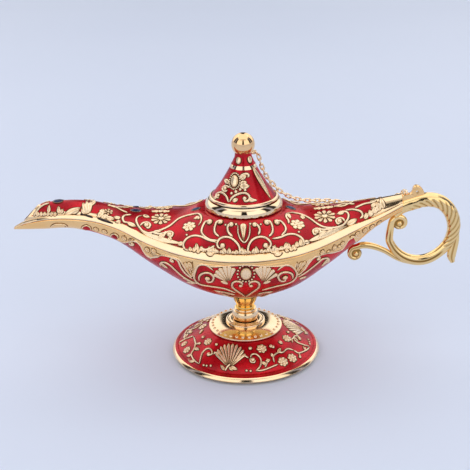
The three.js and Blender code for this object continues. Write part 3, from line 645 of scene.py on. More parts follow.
# Mesh turned about Z from radius and height pairs that close on themselves
def turned(profile, turns=TURNS):
    angle = np.arange(turns) * 2 * math.pi / turns
    radius, height = np.array(profile, float).T
    x = np.cos(angle)[:, None] * radius
    y = np.sin(angle)[:, None] * radius
    z = np.broadcast_to(height, x.shape)
    verts = np.stack([x, y, z], axis=-1).reshape(-1, 3)
    return verts, grid_faces(turns, len(profile), True, True)


# The same without the faces that join the profile's two ends
def turned_surface(profile, turns):
    verts, faces = turned(profile, turns)
    last = len(profile) - 1
    return verts, [face for k, face in enumerate(faces) if k % len(profile) != last]


# Turned piece, with a material picked for each stretch of its profile
def turned_piece(name, profile, materials, pick=None, **rest):
    verts, faces = turned(profile)
    indices = None
    if pick is not None:
        shape = np.array(profile)
        middle = (shape + np.roll(shape, -1, axis=0)) / 2
        indices = [pick(*middle[k % len(profile)]) for k in range(len(faces))]
    return piece(name, verts, faces, materials, indices, **rest)


def ball(centre, radius, rings=10, turns=16):
    verts = [(0, 0, -1)]
    for i in range(1, rings):
        lift = -math.cos(math.pi * i / rings)
        out = math.sin(math.pi * i / rings)
        for k in range(turns):
            turn = 2 * math.pi * k / turns
            verts.append((out * math.cos(turn), out * math.sin(turn), lift))
    verts.append((0, 0, 1))
    faces = grid_faces(rings - 1, turns, False, True, 1)
    faces = [face[::-1] for face in faces]
    last = len(verts) - 1
    for k in range(turns):
        nxt = (k + 1) % turns
        faces.append((0, 1 + nxt, 1 + k))
        faces.append((last, last - turns + k, last - turns + nxt))
    return np.array(verts) * radius + np.array(centre), faces


def merged(parts):
    verts = []
    faces = []
    for part_verts, part_faces in parts:
        first = sum(len(v) for v in verts)
        verts.append(np.asarray(part_verts, float))
        faces.extend([tuple(i + first for i in face) for face in part_faces])
    return np.vstack(verts), faces


# Bar along points of the XZ plane, with its radius at each point, its share of that radius sideways, and a
# section that says how far out the surface stands at each angle round the bar
def bar(points, radii, sides=20, closed=False, section=None, flat=1.0):
    points = np.array(points, float)
    count = len(points)
    before = np.roll(points, 1, axis=0)
    after = np.roll(points, -1, axis=0)
    if not closed:
        before[0] = points[0]
        after[-1] = points[-1]
    tangent = after - before
    tangent /= np.linalg.norm(tangent, axis=1)[:, None]
    across = np.stack([-tangent[:, 2], np.zeros(count), tangent[:, 0]], axis=1)
    verts = []
    for i in range(count):
        for k in range(sides):
            angle = 2 * math.pi * k / sides
            out = radii[i] * (section(i / (count - 1), angle) if section else 1)
            sideways = np.array([0, flat * out * math.sin(angle), 0])
            verts.append(points[i] + across[i] * out * math.cos(angle) + sideways)
    faces = grid_faces(count, sides, closed, True)
    if not closed:
        first = len(verts)
        verts.extend([points[0], points[-1]])
        end = (count - 1) * sides
        for k in range(sides):
            nxt = (k + 1) % sides
            faces.append((first, k, nxt))
            faces.append((first + 1, end + nxt, end + k))
    return np.array(verts), faces


# Closed sheet between an outer and an inner grid
def thick_sheet(outer, inner):
    rows, columns = outer.shape[:2]
    verts = np.vstack([outer.reshape(-1, 3), inner.reshape(-1, 3)])
    faces = grid_faces(rows, columns)
    back = [face[::-1] for face in grid_faces(rows, columns, first=rows * columns)]
    half = rows * columns
    edges = []
    for i in range(rows - 1):
        a, b = i * columns, (i + 1) * columns
        edges.append((b, a, half + a, half + b))
        a, b = a + columns - 1, b + columns - 1
        edges.append((a, b, half + b, half + a))
    for j in range(columns - 1):
        edges.append((j, j + 1, half + j + 1, half + j))
        a = (rows - 1) * columns + j
        edges.append((a + 1, a, half + a, half + a + 1))
    return verts, faces, back, edges


# Takes a tool's shape out of a piece and gives the cut faces one of the piece's materials
def cut_away(obj, verts, faces, material_index):
    tool = mesh_object("cut", verts, faces, obj.data.materials)
    tool.data.polygons.foreach_set("material_index", [material_index] * len(faces))
    modifier = obj.modifiers.new("cut", "BOOLEAN")
    modifier.operation = "DIFFERENCE"
    modifier.solver = "EXACT"
    modifier.object = tool
    graph = bpy.context.evaluated_depsgraph_get()
    mesh = bpy.data.meshes.new_from_object(obj.evaluated_get(graph))
    obj.modifiers.clear()
    obj.data = mesh
    bpy.data.objects.remove(tool)


# Closed tool between a ring of points and the same ring shifted
def prism(ring, shift):
    count = len(ring)
    near = np.array(ring, float)
    sides = [(k, (k + 1) % count, count + (k + 1) % count, count + k) for k in range(count)]
    caps = [tuple(range(count - 1, -1, -1)), tuple(range(count, 2 * count))]
    return np.vstack([near, near + np.array(shift, float)]), sides + caps


# Foot, collar and stem

def make_pad():
    edge = bulged((PAD_RADIUS, PAD_EDGE), (PAD_RADIUS, PAD_THICKNESS), PAD_BULGE, 4)
    profile = [(PAD_MIDDLE, 0), (PAD_RADIUS - PAD_INSET, 0), *edge, (PAD_MIDDLE, PAD_THICKNESS)]
    pad = turned_piece("felt_pad", profile, [FELT], slot="felt")
    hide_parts("foot_pad")


def foot_dome(steps):
    return bulged(FOOT_DOME_BASE, (FOOT_TOP_RADIUS, FOOT_HEIGHT), FOOT_DOME_BULGE, steps)


def make_foot():
    recess = PAD_RADIUS + SEAT_GAP
    ledge = PAD_THICKNESS + SEAT_GAP
    ceiling = FOOT_HEIGHT - FOOT_WALL
    inner = bulged((PAD_RADIUS - PAD_LEDGE, ledge), (FOOT_TOP_RADIUS, ceiling), FOOT_DOME_BULGE, 8)
    profile = [
        (recess, FOOT_LIFT),
        *bulged((FOOT_RADIUS - FOOT_RIM_TUCK, FOOT_LIFT), (FOOT_RADIUS, FOOT_RIM_MIDDLE), FOOT_LIFT, 8),
        *bulged((FOOT_RADIUS, FOOT_RIM_MIDDLE), FOOT_DOME_BASE, FOOT_RIM_BULGE, 12)[1:],
        *foot_dome(20)[1:],
        (BOLT_HOLE, FOOT_HEIGHT),
        (BOLT_HOLE, ceiling),
        *inner[::-1],
        (recess, ledge),
    ]
    base_radius, base_height = FOOT_DOME_BASE
    slope = (FOOT_HEIGHT - base_height) / (base_radius - FOOT_TOP_RADIUS)

    def pick(radius, height):
        on_dome = radius > FOOT_TOP_RADIUS - FOOT_TOP_EDGE and height > FOOT_RED_HEIGHT
        outside = height > base_height + (base_radius - radius) * slope - FOOT_WALL / 2
        return 1 if on_dome and outside else 0

    foot = turned_piece("foot_shell", profile, [GOLD, RED], pick, slot="red_enamel")
    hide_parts("foot")


def make_collar():
    edge = (COLLAR_RADIUS, COLLAR_BOTTOM + COLLAR_EDGE)
    shoulder = (COLLAR_STEP_RADIUS, COLLAR_BOTTOM + COLLAR_DOME_HEIGHT)
    dome = bulged(edge, shoulder, COLLAR_BULGE, 14)
    groove = COLLAR_TOP - COLLAR_ROLL_DEPTH
    outer_roll = rolled(COLLAR_STEP_RADIUS, COLLAR_ROLL_RADIUS, groove, COLLAR_TOP, COLLAR_ROLL_STEPS)
    inner_roll = rolled(COLLAR_ROLL_RADIUS, COLLAR_SEAT_RADIUS, groove, COLLAR_TOP, COLLAR_ROLL_STEPS)
    profile = [
        (BOLT_HOLE, COLLAR_BOTTOM),
        (COLLAR_RADIUS - COLLAR_ROUNDING, COLLAR_BOTTOM),
        *bulged((COLLAR_RADIUS, COLLAR_BOTTOM + COLLAR_ROUNDING), edge, COLLAR_EDGE_BULGE, 3),
        *dome[1:],
        *outer_roll,
        *inner_roll[1:-COLLAR_ROLL_CUT],
        (BOLT_HOLE, COLLAR_TOP),
    ]
    radius, height = np.array(dome).T
    seat = float(np.interp(BEAD_CIRCLE, radius[::-1], height[::-1]))
    parts = [turned(profile)]
    for k in range(BEAD_COUNT):
        turn = 2 * math.pi * k / BEAD_COUNT
        place = (BEAD_CIRCLE * math.cos(turn), BEAD_CIRCLE * math.sin(turn), seat - BEAD_SINK)
        parts.append(ball(place, BEAD_RADIUS, 8, 12))
    collar = piece("collar_with_beads", *merged(parts), [GOLD])
    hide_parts("beaded_collar")


def make_stem():
    def level(share):
        return STEM_BOTTOM + share * STEM_HEIGHT

    waist = spline([
        (STEM_WAIST_RADIUS, level(STEM_WAIST_BOTTOM)),
        (STEM_WAIST_RADIUS, level(STEM_WAIST_TOP)),
        ((STEM_WAIST_RADIUS + STEM_TOP_RADIUS) / 2, level(STEM_FLARE)),
        (STEM_TOP_RADIUS, level(1)),
    ], 10)
    low = STEM_BASE_RADIUS - STEM_STEP
    drum = bulged((low, level(0)), (low, level(STEM_DRUM_TOP)), STEM_STEP, 14)
    ring_low = STEM_RING_RADIUS - STEM_STEP
    ring = bulged((ring_low, level(STEM_RING_BOTTOM)), (ring_low, level(STEM_RING_TOP)), STEM_STEP, 10)
    profile = [(BOLT_HOLE, level(0)), *drum, *ring, *[tuple(p) for p in waist], (BOLT_HOLE, level(1))]

    # Above the ring the stem takes the amber gold, a painted reflection of the red body
    def pick(radius, height):
        return 1 if height > level(STEM_RING_TOP) else 0

    stem = turned_piece("turned_stem", profile, [GOLD, AMBER_GOLD], pick)
    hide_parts("stem")


# Body shells, with heights above the bowl's bottom turned to the lamp's own frame

def lower_section(x):
    width = half_width(x) - np.minimum(RIM_OVERHANG, OVERHANG_SHARE * half_width(x))
    top = seam(x) - SEAT_GAP
    return width, top, keel(x)


# Points of the bowl's outside by place along the body and share of the turn from front rim to back rim
def bowl_grid(x, share):
    width, top, bottom = lower_section(x)
    return bowl_rows(x, width, top, top - bottom, share)


# The same with the half width, top and depth at each place given
def bowl_rows(x, width, top, depth, share):
    angle = math.pi * (1 - np.asarray(share))
    y = width[:, None] * np.cos(angle)
    z = top[:, None] - depth[:, None] * np.sin(angle)
    return np.stack([np.broadcast_to(x[:, None], y.shape), y, z + BODY_BASE], axis=-1)


def make_lower_shell():
    x = np.linspace(-SPOUT_REACH, TAIL_REACH, STATIONS + 1)
    share = np.linspace(0, 1, BOWL_COLUMNS + 1)
    width, top, bottom = lower_section(x)
    wall = np.minimum(SHELL_WALL, WALL_SHARE * np.minimum(width, top - bottom))
    inner = bowl_rows(x, width - wall, top, top - bottom - wall, share)
    verts, front, back, edges = thick_sheet(bowl_grid(x, share), inner)
    boss_top = BODY_BASE + BOSS_HEIGHT
    boss = turned([
        (BOLT_HOLE, BODY_BASE), (BOSS_RADIUS, BODY_BASE), (BOSS_RADIUS, boss_top), (BOLT_HOLE, boss_top),
    ], turns=48)
    # The bowl's red is the brighter copy, painted light for its shaded downward faces
    materials = [GOLD, BOWL_RED_PAINTED_LIGHT, DARK_GOLD, AMBER_GOLD]
    rim, red, inside, amber = range(4)
    middles = np.array([verts[list(face)].mean(axis=0) for face in front])
    under = np.hypot(middles[:, 0] / UNDER_GOLD_LENGTH, middles[:, 1] / UNDER_GOLD_WIDTH) < 1
    indices = [amber if plain else red for plain in under]
    indices += [inside] * len(back) + [rim] * len(edges) + [amber] * len(boss[1])
    all_verts, all_faces = merged([(verts, front + back + edges), boss])
    shell = piece("bowl_shell", all_verts, all_faces, materials, indices, slot="red_enamel")
    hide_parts("lower_shell")


def dome_height(x, y, reach, base):
    share = np.minimum(np.abs(y) / reach, 1)
    free = base + (ridge(x) - base) * (1 - share * share) ** DOME_POWER
    t = np.clip((np.hypot(x, y) - NECK_RADIUS) / NECK_FLARE, 0, 1)
    outside = t * t * (3 - 2 * t)
    return NECK_HEIGHT + (free - NECK_HEIGHT) * outside


def ridge_height(x):
    return float(dome_height(x, 0, 1, float(ridge(x))))


def rim_section(x):
    width = half_width(x)
    band = np.minimum(RIM_BAND_WIDTH, BAND_SHARE * width)
    rise = seam(x) + band * RIM_BAND_RISE + RIM_EDGE / 2
    return width, width - band, rise


# Half of one section of the upper shell, from the rim to the ridge
def dome_half(x):
    width, reach, rise = (float(v) for v in rim_section(x))
    base = float(seam(x))
    tuck = min(RIM_TUCK, (width - reach) / 2)
    low = np.array([width, base + RIM_EDGE / 2])
    high = np.array([reach, rise])
    outside = [(width, base)]
    for t in np.linspace(0, 1, RIM_COLUMNS):
        y, z = low + (high - low) * t
        outside.append((y, z + RIM_BAND_CROWN * math.sin(math.pi * t)))
    inside = [(reach + tuck, base)] * 2 + [(reach, base + RIM_EDGE / 4)] * (RIM_COLUMNS - 1)
    for j in range(1, DOME_COLUMNS):
        share = math.cos(math.pi / 2 * j / DOME_COLUMNS)
        height = float(dome_height(x, reach * share, reach, rise))
        outside.append((reach * share, height))
        inside.append(((reach - tuck) * share, max(height - DOME_WALL, base + RIM_EDGE / 2)))
    return outside, inside


# One row across the upper shell, from the front rim over the ridge to the back rim
def across_row(x, half, top):
    return [(x, -y, z) for y, z in half] + [(x, 0, top)] + [(x, y, z) for y, z in half[::-1]]


# Outer and inner points of the upper shell
def dome_grids(stations):
    outer = []
    inner = []
    for x in np.linspace(-MOUTH_REACH, TAIL_REACH, stations + 1):
        outside, inside = dome_half(x)
        top = ridge_height(x)
        outer.append(across_row(x, outside, top))
        inner.append(across_row(x, inside, top - DOME_WALL))
    lift = np.array([0, 0, BODY_BASE])
    return np.array(outer) + lift, np.array(inner) + lift


def make_upper_shell():
    outer, inner = dome_grids(STATIONS)
    verts, front, back, edges = thick_sheet(outer, inner)
    columns = outer.shape[1]
    gold, red, inside = range(3)
    indices = []
    for face in front:
        column = min(face) % columns
        from_rim = min(column, columns - 2 - column)
        middle, _, height = verts[list(face)].mean(axis=0)
        tip = GOLD_SPOUT + SPOUT_SLANT * (height - BODY_BASE - float(seam(middle)))
        leafy = middle < SPOUT_LEAF_END and from_rim < RIM_COLUMNS + SPOUT_LEAF_COLUMNS
        plain = from_rim < RIM_COLUMNS or not tip < middle < GOLD_TAIL
        indices.append(gold if plain or leafy else red)
    indices += [inside] * len(back) + [gold] * len(edges)
    faces = front + back + edges
    shell = piece("dome_shell", verts, faces, [GOLD, RED, DARK_GOLD], indices, slot="red_enamel")
    hole = NECK_BORE + NECK_SLEEVE_WALL + SEAT_GAP
    turns = np.arange(NECK_HOLE_SIDES) * 2 * math.pi / NECK_HOLE_SIDES
    circle = [(hole * math.cos(a), hole * math.sin(a), BODY_BASE) for a in turns]
    cut_away(shell, *prism(circle, (0, 0, 2 * NECK_HEIGHT)), inside)
    place = Vector((-MOUTH_REACH, 0, float(seam(-MOUTH_REACH)) + BODY_BASE))
    tilt = Matrix.Rotation(math.radians(MOUTH_TILT), 3, "Y")
    square = [(-1, -1), (-1, 1), (1, 1), (1, -1)]
    corners = [tilt @ Vector((0, y, z)) * MOUTH_BLOCK + place for y, z in square]
    cut_away(shell, *prism(corners, tilt @ Vector((-MOUTH_BLOCK, 0, 0))), gold)
    smooth(shell, SHARP_ANGLE)
    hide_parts("upper_shell")


def make_neck():
    sleeve = NECK_BORE + NECK_SLEEVE_WALL
    bottom = BODY_BASE + NECK_BOTTOM
    top = bottom + NECK_BAND_HEIGHT
    low_edge = (NECK_BAND_RADIUS, bottom + NECK_ROUNDING)
    profile = [
        (NECK_BORE, bottom - NECK_SLEEVE_DEPTH),
        (sleeve, bottom - NECK_SLEEVE_DEPTH),
        (sleeve, bottom),
        (NECK_BAND_RADIUS - NECK_ROUNDING, bottom),
        *bulged(low_edge, (NECK_TOP_RADIUS, top), NECK_BAND_BULGE, 10),
        (NECK_BORE + NECK_ROUNDING, top),
        (NECK_BORE, top - NECK_ROUNDING),
    ]
    neck = turned_piece("neck_band", profile, [MIRROR_GOLD])
    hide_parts("neck_collar")


# Lid, knob and tab

def lid_cone(steps):
    return bulged((LID_BASE_RADIUS, LID_FLANGE_HEIGHT), (LID_TOP_RADIUS, LID_TOP), -LID_CONE_SAG, steps)


def make_lid():
    skirt = NECK_BORE - LID_CLEARANCE
    inside = skirt - LID_SKIRT_WALL
    ceiling = LID_TOP - LID_TOP_THICKNESS
    lip = LID_TOP_RADIUS - LID_LIP_WALL
    lip_top = LID_TOP + LID_LIP_HEIGHT
    slope = lid_cone(36)
    cone = []
    for radius, height in slope:
        on_ring = LID_RING_LOW <= height <= LID_RING_HIGH
        cone.append((radius + (LID_RING_PROUD if on_ring else 0), height))
    low_edge = (LID_FLANGE_RADIUS, LID_ROUNDING)
    high_edge = (LID_FLANGE_RADIUS - LID_EDGE_SLOPE, LID_FLANGE_HEIGHT)
    profile = [
        (inside, -LID_SKIRT_DEPTH),
        (skirt, -LID_SKIRT_DEPTH),
        (skirt, 0),
        (LID_FLANGE_RADIUS - LID_ROUNDING, 0),
        *bulged(low_edge, high_edge, LID_EDGE_BULGE, 6),
        *cone,
        (LID_TOP_RADIUS - LID_ROUNDING, lip_top),
        (lip + LID_LIP_ROUNDING, lip_top + LID_LIP_ROUNDING),
        (lip, lip_top),
        (lip, LID_TOP),
        (SCREW_HOLE, LID_TOP),
        (SCREW_HOLE, ceiling),
        (LID_TOP_RADIUS - LID_WALL / 2, ceiling),
        (inside, LID_FLANGE_HEIGHT + LID_WALL),
    ]
    radii, heights = np.array(slope).T

    def pick(radius, height):
        height -= BODY_BASE + LID_BASE
        if height <= LID_FLANGE_HEIGHT or LID_RING_LOW < height < LID_RING_HIGH:
            return 0
        return 1 if radius > np.interp(height, heights, radii) - LID_WALL / 3 else 0

    lifted = [(r, h + BODY_BASE + LID_BASE) for r, h in profile]
    lid = turned_piece("lid_cone", lifted, [GOLD, RED], pick, body="lid", slot="red_enamel")
    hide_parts("lid_shell")


def make_knob():
    bottom = BODY_BASE + LID_BASE + KNOB_BOTTOM
    centre = bottom + KNOB_RADIUS - KNOB_SINK
    first = math.acos((KNOB_SINK - KNOB_RADIUS) / KNOB_RADIUS)
    arc = np.linspace(first, KNOB_POLE, 40)
    sphere = [(KNOB_RADIUS * math.sin(a), centre + KNOB_RADIUS * math.cos(a)) for a in arc]
    profile = [(SCREW_HOLE, bottom), *sphere, (KNOB_POLE_RADIUS, centre), (SCREW_HOLE, centre)]
    knob = turned_piece("ball_knob", profile, [KNOB_GOLD_PAINTED_REFLECTION], body="lid")
    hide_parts("knob")


# Disc under the knob with an eye for the chain
def make_tab():
    bottom = BODY_BASE + LID_BASE + TAB_BOTTOM
    top = bottom + TAB_THICKNESS
    disc = turned([
        (SCREW_HOLE, bottom), (TAB_DISC_RADIUS, bottom), (TAB_DISC_RADIUS, top), (SCREW_HOLE, top),
    ], turns=64)
    wire = (TAB_EYE_RADIUS - TAB_EYE_HOLE) / 2
    middle = (TAB_EYE_RADIUS + TAB_EYE_HOLE) / 2
    angles = np.arange(TAB_EYE_SIDES) * 2 * math.pi / TAB_EYE_SIDES
    section = [(middle + wire * math.cos(a), wire * math.sin(a)) for a in angles]
    ring_verts, ring_faces = turned(section, turns=40)
    turn = math.radians(TAB_ANGLE)
    out = np.array([math.cos(turn), math.sin(turn), 0])
    height = np.array([0, 0, bottom + TAB_THICKNESS / 2])
    ring = (ring_verts + out * TAB_EYE_REACH + height, ring_faces)
    joint = ball(out * (TAB_DISC_RADIUS + wire / 2) + height, wire * TAB_JOINT)
    tab = piece("tab_with_eye", *merged([disc, ring, joint]), [GOLD], body="lid")
    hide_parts("chain_tab")


# Handle

tail_middle = float(keel(TAIL_REACH) + ridge(TAIL_REACH)) / 2
handle_start = np.array([TAIL_REACH + SEAT_GAP, 0, tail_middle - LOOP_DROP])
loop_share = through(LOOP_SHARES)
loop_bar = through(LOOP_BARS)


def on_circle(centre, radius, degrees):
    angle = math.radians(degrees)
    return np.array([centre[0] + radius * math.cos(angle), 0, centre[2] + radius * math.sin(angle)])


loop_centre = on_circle(handle_start, -LOOP_RADIUS * float(loop_share(LOOP_START)), LOOP_START)


# Points round a scroll that winds in towards its middle, with the bar's radius at each
def scroll(centre, radius, first, turn, width, steps=40):
    points = []
    bars = []
    for i in range(steps + 1):
        share = i / steps
        points.append(on_circle(centre, radius * (1 - SCROLL_TIGHTEN * share), first + turn * share))
        bars.append(width * (1 - SCROLL_TAPER * share))
    return points, bars


def loop_stretch(first, last, steps):
    angles = np.linspace(first, last, steps + 1)
    points = [on_circle(loop_centre, LOOP_RADIUS * float(loop_share(a)), a) for a in angles]
    return points, [float(loop_bar(a)) * LOOP_RADIUS for a in angles]


# The same run with points at even steps and its corners eased
def evened(points, radii, count):
    points = spline(points, 6)
    radii = np.interp(np.linspace(0, 1, len(points)), np.linspace(0, 1, len(radii)), radii)
    run = run_of(points)
    at = np.linspace(0, run[-1], count)
    line = points_at(at, run, points)
    width = np.interp(at, run, radii)
    for _ in range(6):
        line[1:-1] = (line[:-2] + 2 * line[1:-1] + line[2:]) / 4
    return line, width


def fade(value, low, high):
    t = min(1, max(0, (value - low) / (high - low)))
    return t * t * (3 - 2 * t)


# Leaf ridges that slant over the front and back of the arm and cover more of it towards its end
def leaf_ridges(share, angle):
    side = math.cos(angle)
    along = fade(share, *LEAF_START) * (1 - fade(share, *LEAF_END))
    cover = LEAF_COVER + LEAF_COVER_GROWTH * (share - LEAF_COVER_START)
    across = fade(cover - side, *LEAF_COVER_EDGE) * abs(math.sin(angle)) ** LEAF_SHARPNESS
    ridge_line = abs(math.sin(math.pi * (LEAF_RIDGES * share + LEAF_SLANT * side)))
    return along * across * (1 - ridge_line ** LEAF_SHARPNESS)


# Groove along the front and back of the lower ring
def ring_grooves(share, angle):
    line = math.exp(-((math.cos(angle) - RING_GROOVE) / RING_GROOVE_WIDTH) ** 2)
    return line * fade(share, *RING_START) * (1 - fade(share, *RING_END)) * abs(math.sin(angle))


def handle_section(share, angle):
    return 1 - RIDGE_DEPTH * leaf_ridges(share, angle) - GROOVE_DEPTH * ring_grooves(share, angle)


def brace_section(share, angle):
    line = math.exp(-((math.cos(angle) - BRACE_GROOVE) / BRACE_GROOVE_WIDTH) ** 2)
    return 1 - GROOVE_DEPTH * line * abs(math.sin(angle))


# Height share of each point of a bar, low in its grooves, with the middles of its two ends last; it picks
# the colour, so the grooves are painted dark as shade
def bar_crest(count, sides, section):
    values = []
    for i in range(count):
        for k in range(sides):
            depth = 1 - section(i / (count - 1), 2 * math.pi * k / sides)
            values.append(max(0, 1 - GROOVE_SHADE * depth))
    return values + [1, 1]


# Point of the lamp's middle plane behind a pixel, with its height above the bowl's bottom
def plane_point(pixel):
    ray = pixel_ray(pixel)
    eye = Vector(CAMERA_PLACE)
    place = eye - ray * (eye.y / ray.y)
    return np.array([place.x, 0, place.z - BODY_BASE])


# Thin plate that closes the inside of a scroll, coloured darker as painted shade
def scroll_web(centre, radius):
    verts, faces = ball(centre, SCROLL_WEB * radius, 12, 24)
    return verts * np.array([1, SCROLL_WEB_DEPTH, 1]), faces


def make_handle():
    parts = []
    crest = []

    def add(part, values):
        parts.append(part)
        crest.extend(values)

    def add_bar(points, radii, count, sides, section, flat=1.0):
        line, width = evened(points, radii, count)
        add(bar(line, width, sides, section=section, flat=flat), bar_crest(count, sides, section))

    def add_eye(centre, radius, scroll_radius):
        eye = ball(centre, radius, 12, 18)
        add(eye, [1] * len(eye[0]))
        web = scroll_web(centre, scroll_radius)
        add(web, [SCROLL_WEB_CREST] * len(web[0]))

    arm, arm_bars = loop_stretch(LOOP_ROOT, LOOP_END, 25)
    centre = plane_point(SCROLL_PIXEL)
    end, end_bars = scroll(centre, SCROLL_RADIUS, SCROLL_ANGLE, -SCROLL_TURN, SCROLL_BAR)
    add_bar(arm + end[1::3], arm_bars + end_bars[1::3], LOOP_POINTS, LOOP_SIDES, handle_section)
    add_eye(centre, SCROLL_BALL, SCROLL_RADIUS)
    lead = [plane_point(pixel) for pixel in BRACE_LINE]
    centre = plane_point(BRACE_SCROLL_PIXEL)
    end, end_bars = scroll(centre, BRACE_SCROLL_RADIUS, BRACE_SCROLL_ANGLE, SCROLL_TURN, BRACE_SCROLL_BAR)
    add_bar(lead + end[1::4], BRACE_BARS + end_bars[1::4], BRACE_POINTS, BRACE_SIDES, brace_section)
    add_eye(centre, BRACE_BALL, BRACE_SCROLL_RADIUS)
    leaf = [plane_point(pixel) for pixel in LEAF_LINE]
    add_bar(leaf, LEAF_WIDTHS, LEAF_POINTS, LEAF_SIDES, brace_section, LEAF_FLATNESS)
    verts, faces = merged(parts)
    handle = piece("scroll_handle", verts + np.array([0, 0, BODY_BASE]), faces, [CAST_GOLD], sharp=70)
    set_crest(handle, crest)
    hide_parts("handle")


eyelet_place = handle_start + np.array([EYELET_REACH, 0, THUMB_FRONT_HEIGHT])


# Pierced plate with a wavy top, and the eyelet for the chain in front of it
def make_thumb_rest():
    outline = evened([plane_point(pixel) for pixel in THUMB_OUTLINE], [1], THUMB_POINTS)[0]
    middle = outline.mean(axis=0)
    inward = (middle - outline) / np.linalg.norm(outline - middle, axis=1)[:, None]
    layers = []
    for depth, inset in ((0, 1), (THUMB_EASE, THUMB_EASE), (1, 0)):
        y = depth * THUMB_ROUNDING - THUMB_THICKNESS / 2
        layers.append(outline + inward * inset * THUMB_ROUNDING + np.array([0, y, 0]))
    layers += [layer * np.array([1, -1, 1]) for layer in layers[::-1]]
    count = len(outline)
    last = (len(layers) - 1) * count
    faces = grid_faces(len(layers), count, False, True)
    faces += [tuple(range(count)), tuple(range(last + count - 1, last - 1, -1))]
    lift = np.array([0, 0, BODY_BASE])
    rest = piece("thumb_plate", np.concatenate(layers) + lift, faces, [TAN_GOLD_PAINTED_SHADE, DARK_GOLD], sharp=50)
    degrees = np.arange(HOLE_SIDES) * 360 / HOLE_SIDES
    hole = plane_point(THUMB_HOLE_PIXEL) + lift
    back = np.array([0, THUMB_THICKNESS, 0])
    ring = [on_circle(hole, THUMB_HOLE, angle) + back for angle in degrees]
    cut_away(rest, *prism(ring, -2 * back), 1)
    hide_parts("thumb_rest")
    circle = [on_circle(eyelet_place + lift, EYELET_RADIUS, angle) for angle in degrees]
    piece("chain_eyelet", *bar(circle, [EYELET_BAR] * HOLE_SIDES, 12, closed=True), [GOLD])


# Chain: route, links turned a quarter from one to the next

LINK_HALF = (LINK_INNER_LENGTH + LINK_WIRE) / 2


def chain_route():
    turn = math.radians(TAB_ANGLE)
    eye_height = LID_BASE + TAB_BOTTOM + TAB_THICKNESS / 2
    eye = (TAB_EYE_REACH * math.cos(turn), TAB_EYE_REACH * math.sin(turn), eye_height)
    arch = eyelet_place + np.array([0, LINK_INNER_LENGTH / 4 - LINK_HALF, EYELET_RADIUS])
    leave = arch + np.array([0, 2 * LINK_HALF, 0])
    line = spline([eye, *CHAIN_ROUTE, leave, arch], 24)
    return line + np.array([0, 0, BODY_BASE])


# Oval of round wire
def link_mesh():
    bend = (LINK_INNER_WIDTH + LINK_WIRE) / 2
    oval = []
    for side, first in ((1, 90), (-1, 270)):
        for turn in np.linspace(first, first - 180, LINK_BEND_POINTS):
            oval.append(on_circle((side * (LINK_HALF - bend), 0, 0), bend, turn))
    return bar(oval, [LINK_WIRE / 2] * len(oval), LINK_SIDES, closed=True)


def make_chain():
    line = chain_route()
    run = run_of(line)
    pitch = (run[-1] - 2 * LINK_HALF) / (LINK_COUNT - 1)
    link_verts, link_faces = link_mesh()
    parts = []
    for i in range(LINK_COUNT):
        at = LINK_HALF + i * pitch
        along = points_at(at + LINK_AIM, run, line) - points_at(at - LINK_AIM, run, line)
        along /= np.linalg.norm(along)
        flat = np.array([-along[1], along[0], 0])
        flat /= np.linalg.norm(flat)
        upright = np.cross(along, flat)
        basis = np.array([along, flat, upright]) if i % 2 == 0 else np.array([along, -upright, flat])
        parts.append((link_verts @ basis + points_at(at, run, line), link_faces))
    chain = mesh_object("safety_chain", *merged(parts), [PALE_GOLD])
    smooth(chain, 180)
    path = line[::-1] * MM
    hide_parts(*[f"chain_link_{i:02d}" for i in range(1, LINK_COUNT + 1)])
    tuple(path[0])
    [tuple(p) for p in path]
    tuple(path[0])
    tuple(path[-1])
    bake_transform(chain)


# Raised ornament, drawn by the photograph's pixels and laid on the surface that carries it

STROKE_WIDTH = 1.08
STROKE_HEIGHT = 0.5
ORNAMENT_SINK = 0.1
# Low rim round each raised shape, coloured darkest as painted shade
OUTLINE_WIDTH = 0.24
OUTLINE_HEIGHT = 0.05
STROKE_POINTS = 9
STROKE_STEP = 0.7
STROKE_END_HEIGHT = 0.35
THIN_SHARE = 0.04
BALL_HEIGHT = 0.8
FAN_START = 0.15
PETAL_POINTS = 7
PETAL_START = 0.2
FLOWER_MIDDLE = 0.3
DAISY_MIDDLE_HEIGHT = 1.3
ROSE_HEIGHT = 1.5
ROSE_MIDDLE_HEIGHT = 1.4
ROSE_RINGS = ((0.72, 7, 0.36), (0.36, 4, 0.3))
DOME_RINGS = (1, 0.93, 0.75, 0.5, 0.25, 0.02)
DOME_SIDES = 12
UPWARD = np.array([0, 0, 1.0])
MIRROR = np.array([1, -1, 1])
ROUND_SECTION = [(-1, 0), (-0.8, 0.6), (-0.42, 0.92), (0, 1), (0.42, 0.92), (0.8, 0.6), (1, 0)]
LEAF_SECTION = [(-1, 0), (-0.75, 0.7), (-0.4, 0.95), (0, 0.45), (0.4, 0.95), (0.75, 0.7), (1, 0)]


# Thickness along a stroke: pointed at both ends, rounded at its tip, or even like a wire
def pointed(t):
    return np.sin(math.pi * np.clip(t, 0, 1) ** 0.8) ** 0.85


def rounded(t):
    return np.maximum(t, 0.05) ** 0.8 * np.minimum(1, (1 - t) / 0.12) ** 0.5


def wire_like(t):
    return np.minimum(1, np.minimum(t, 1 - t) / 0.12) ** 0.5


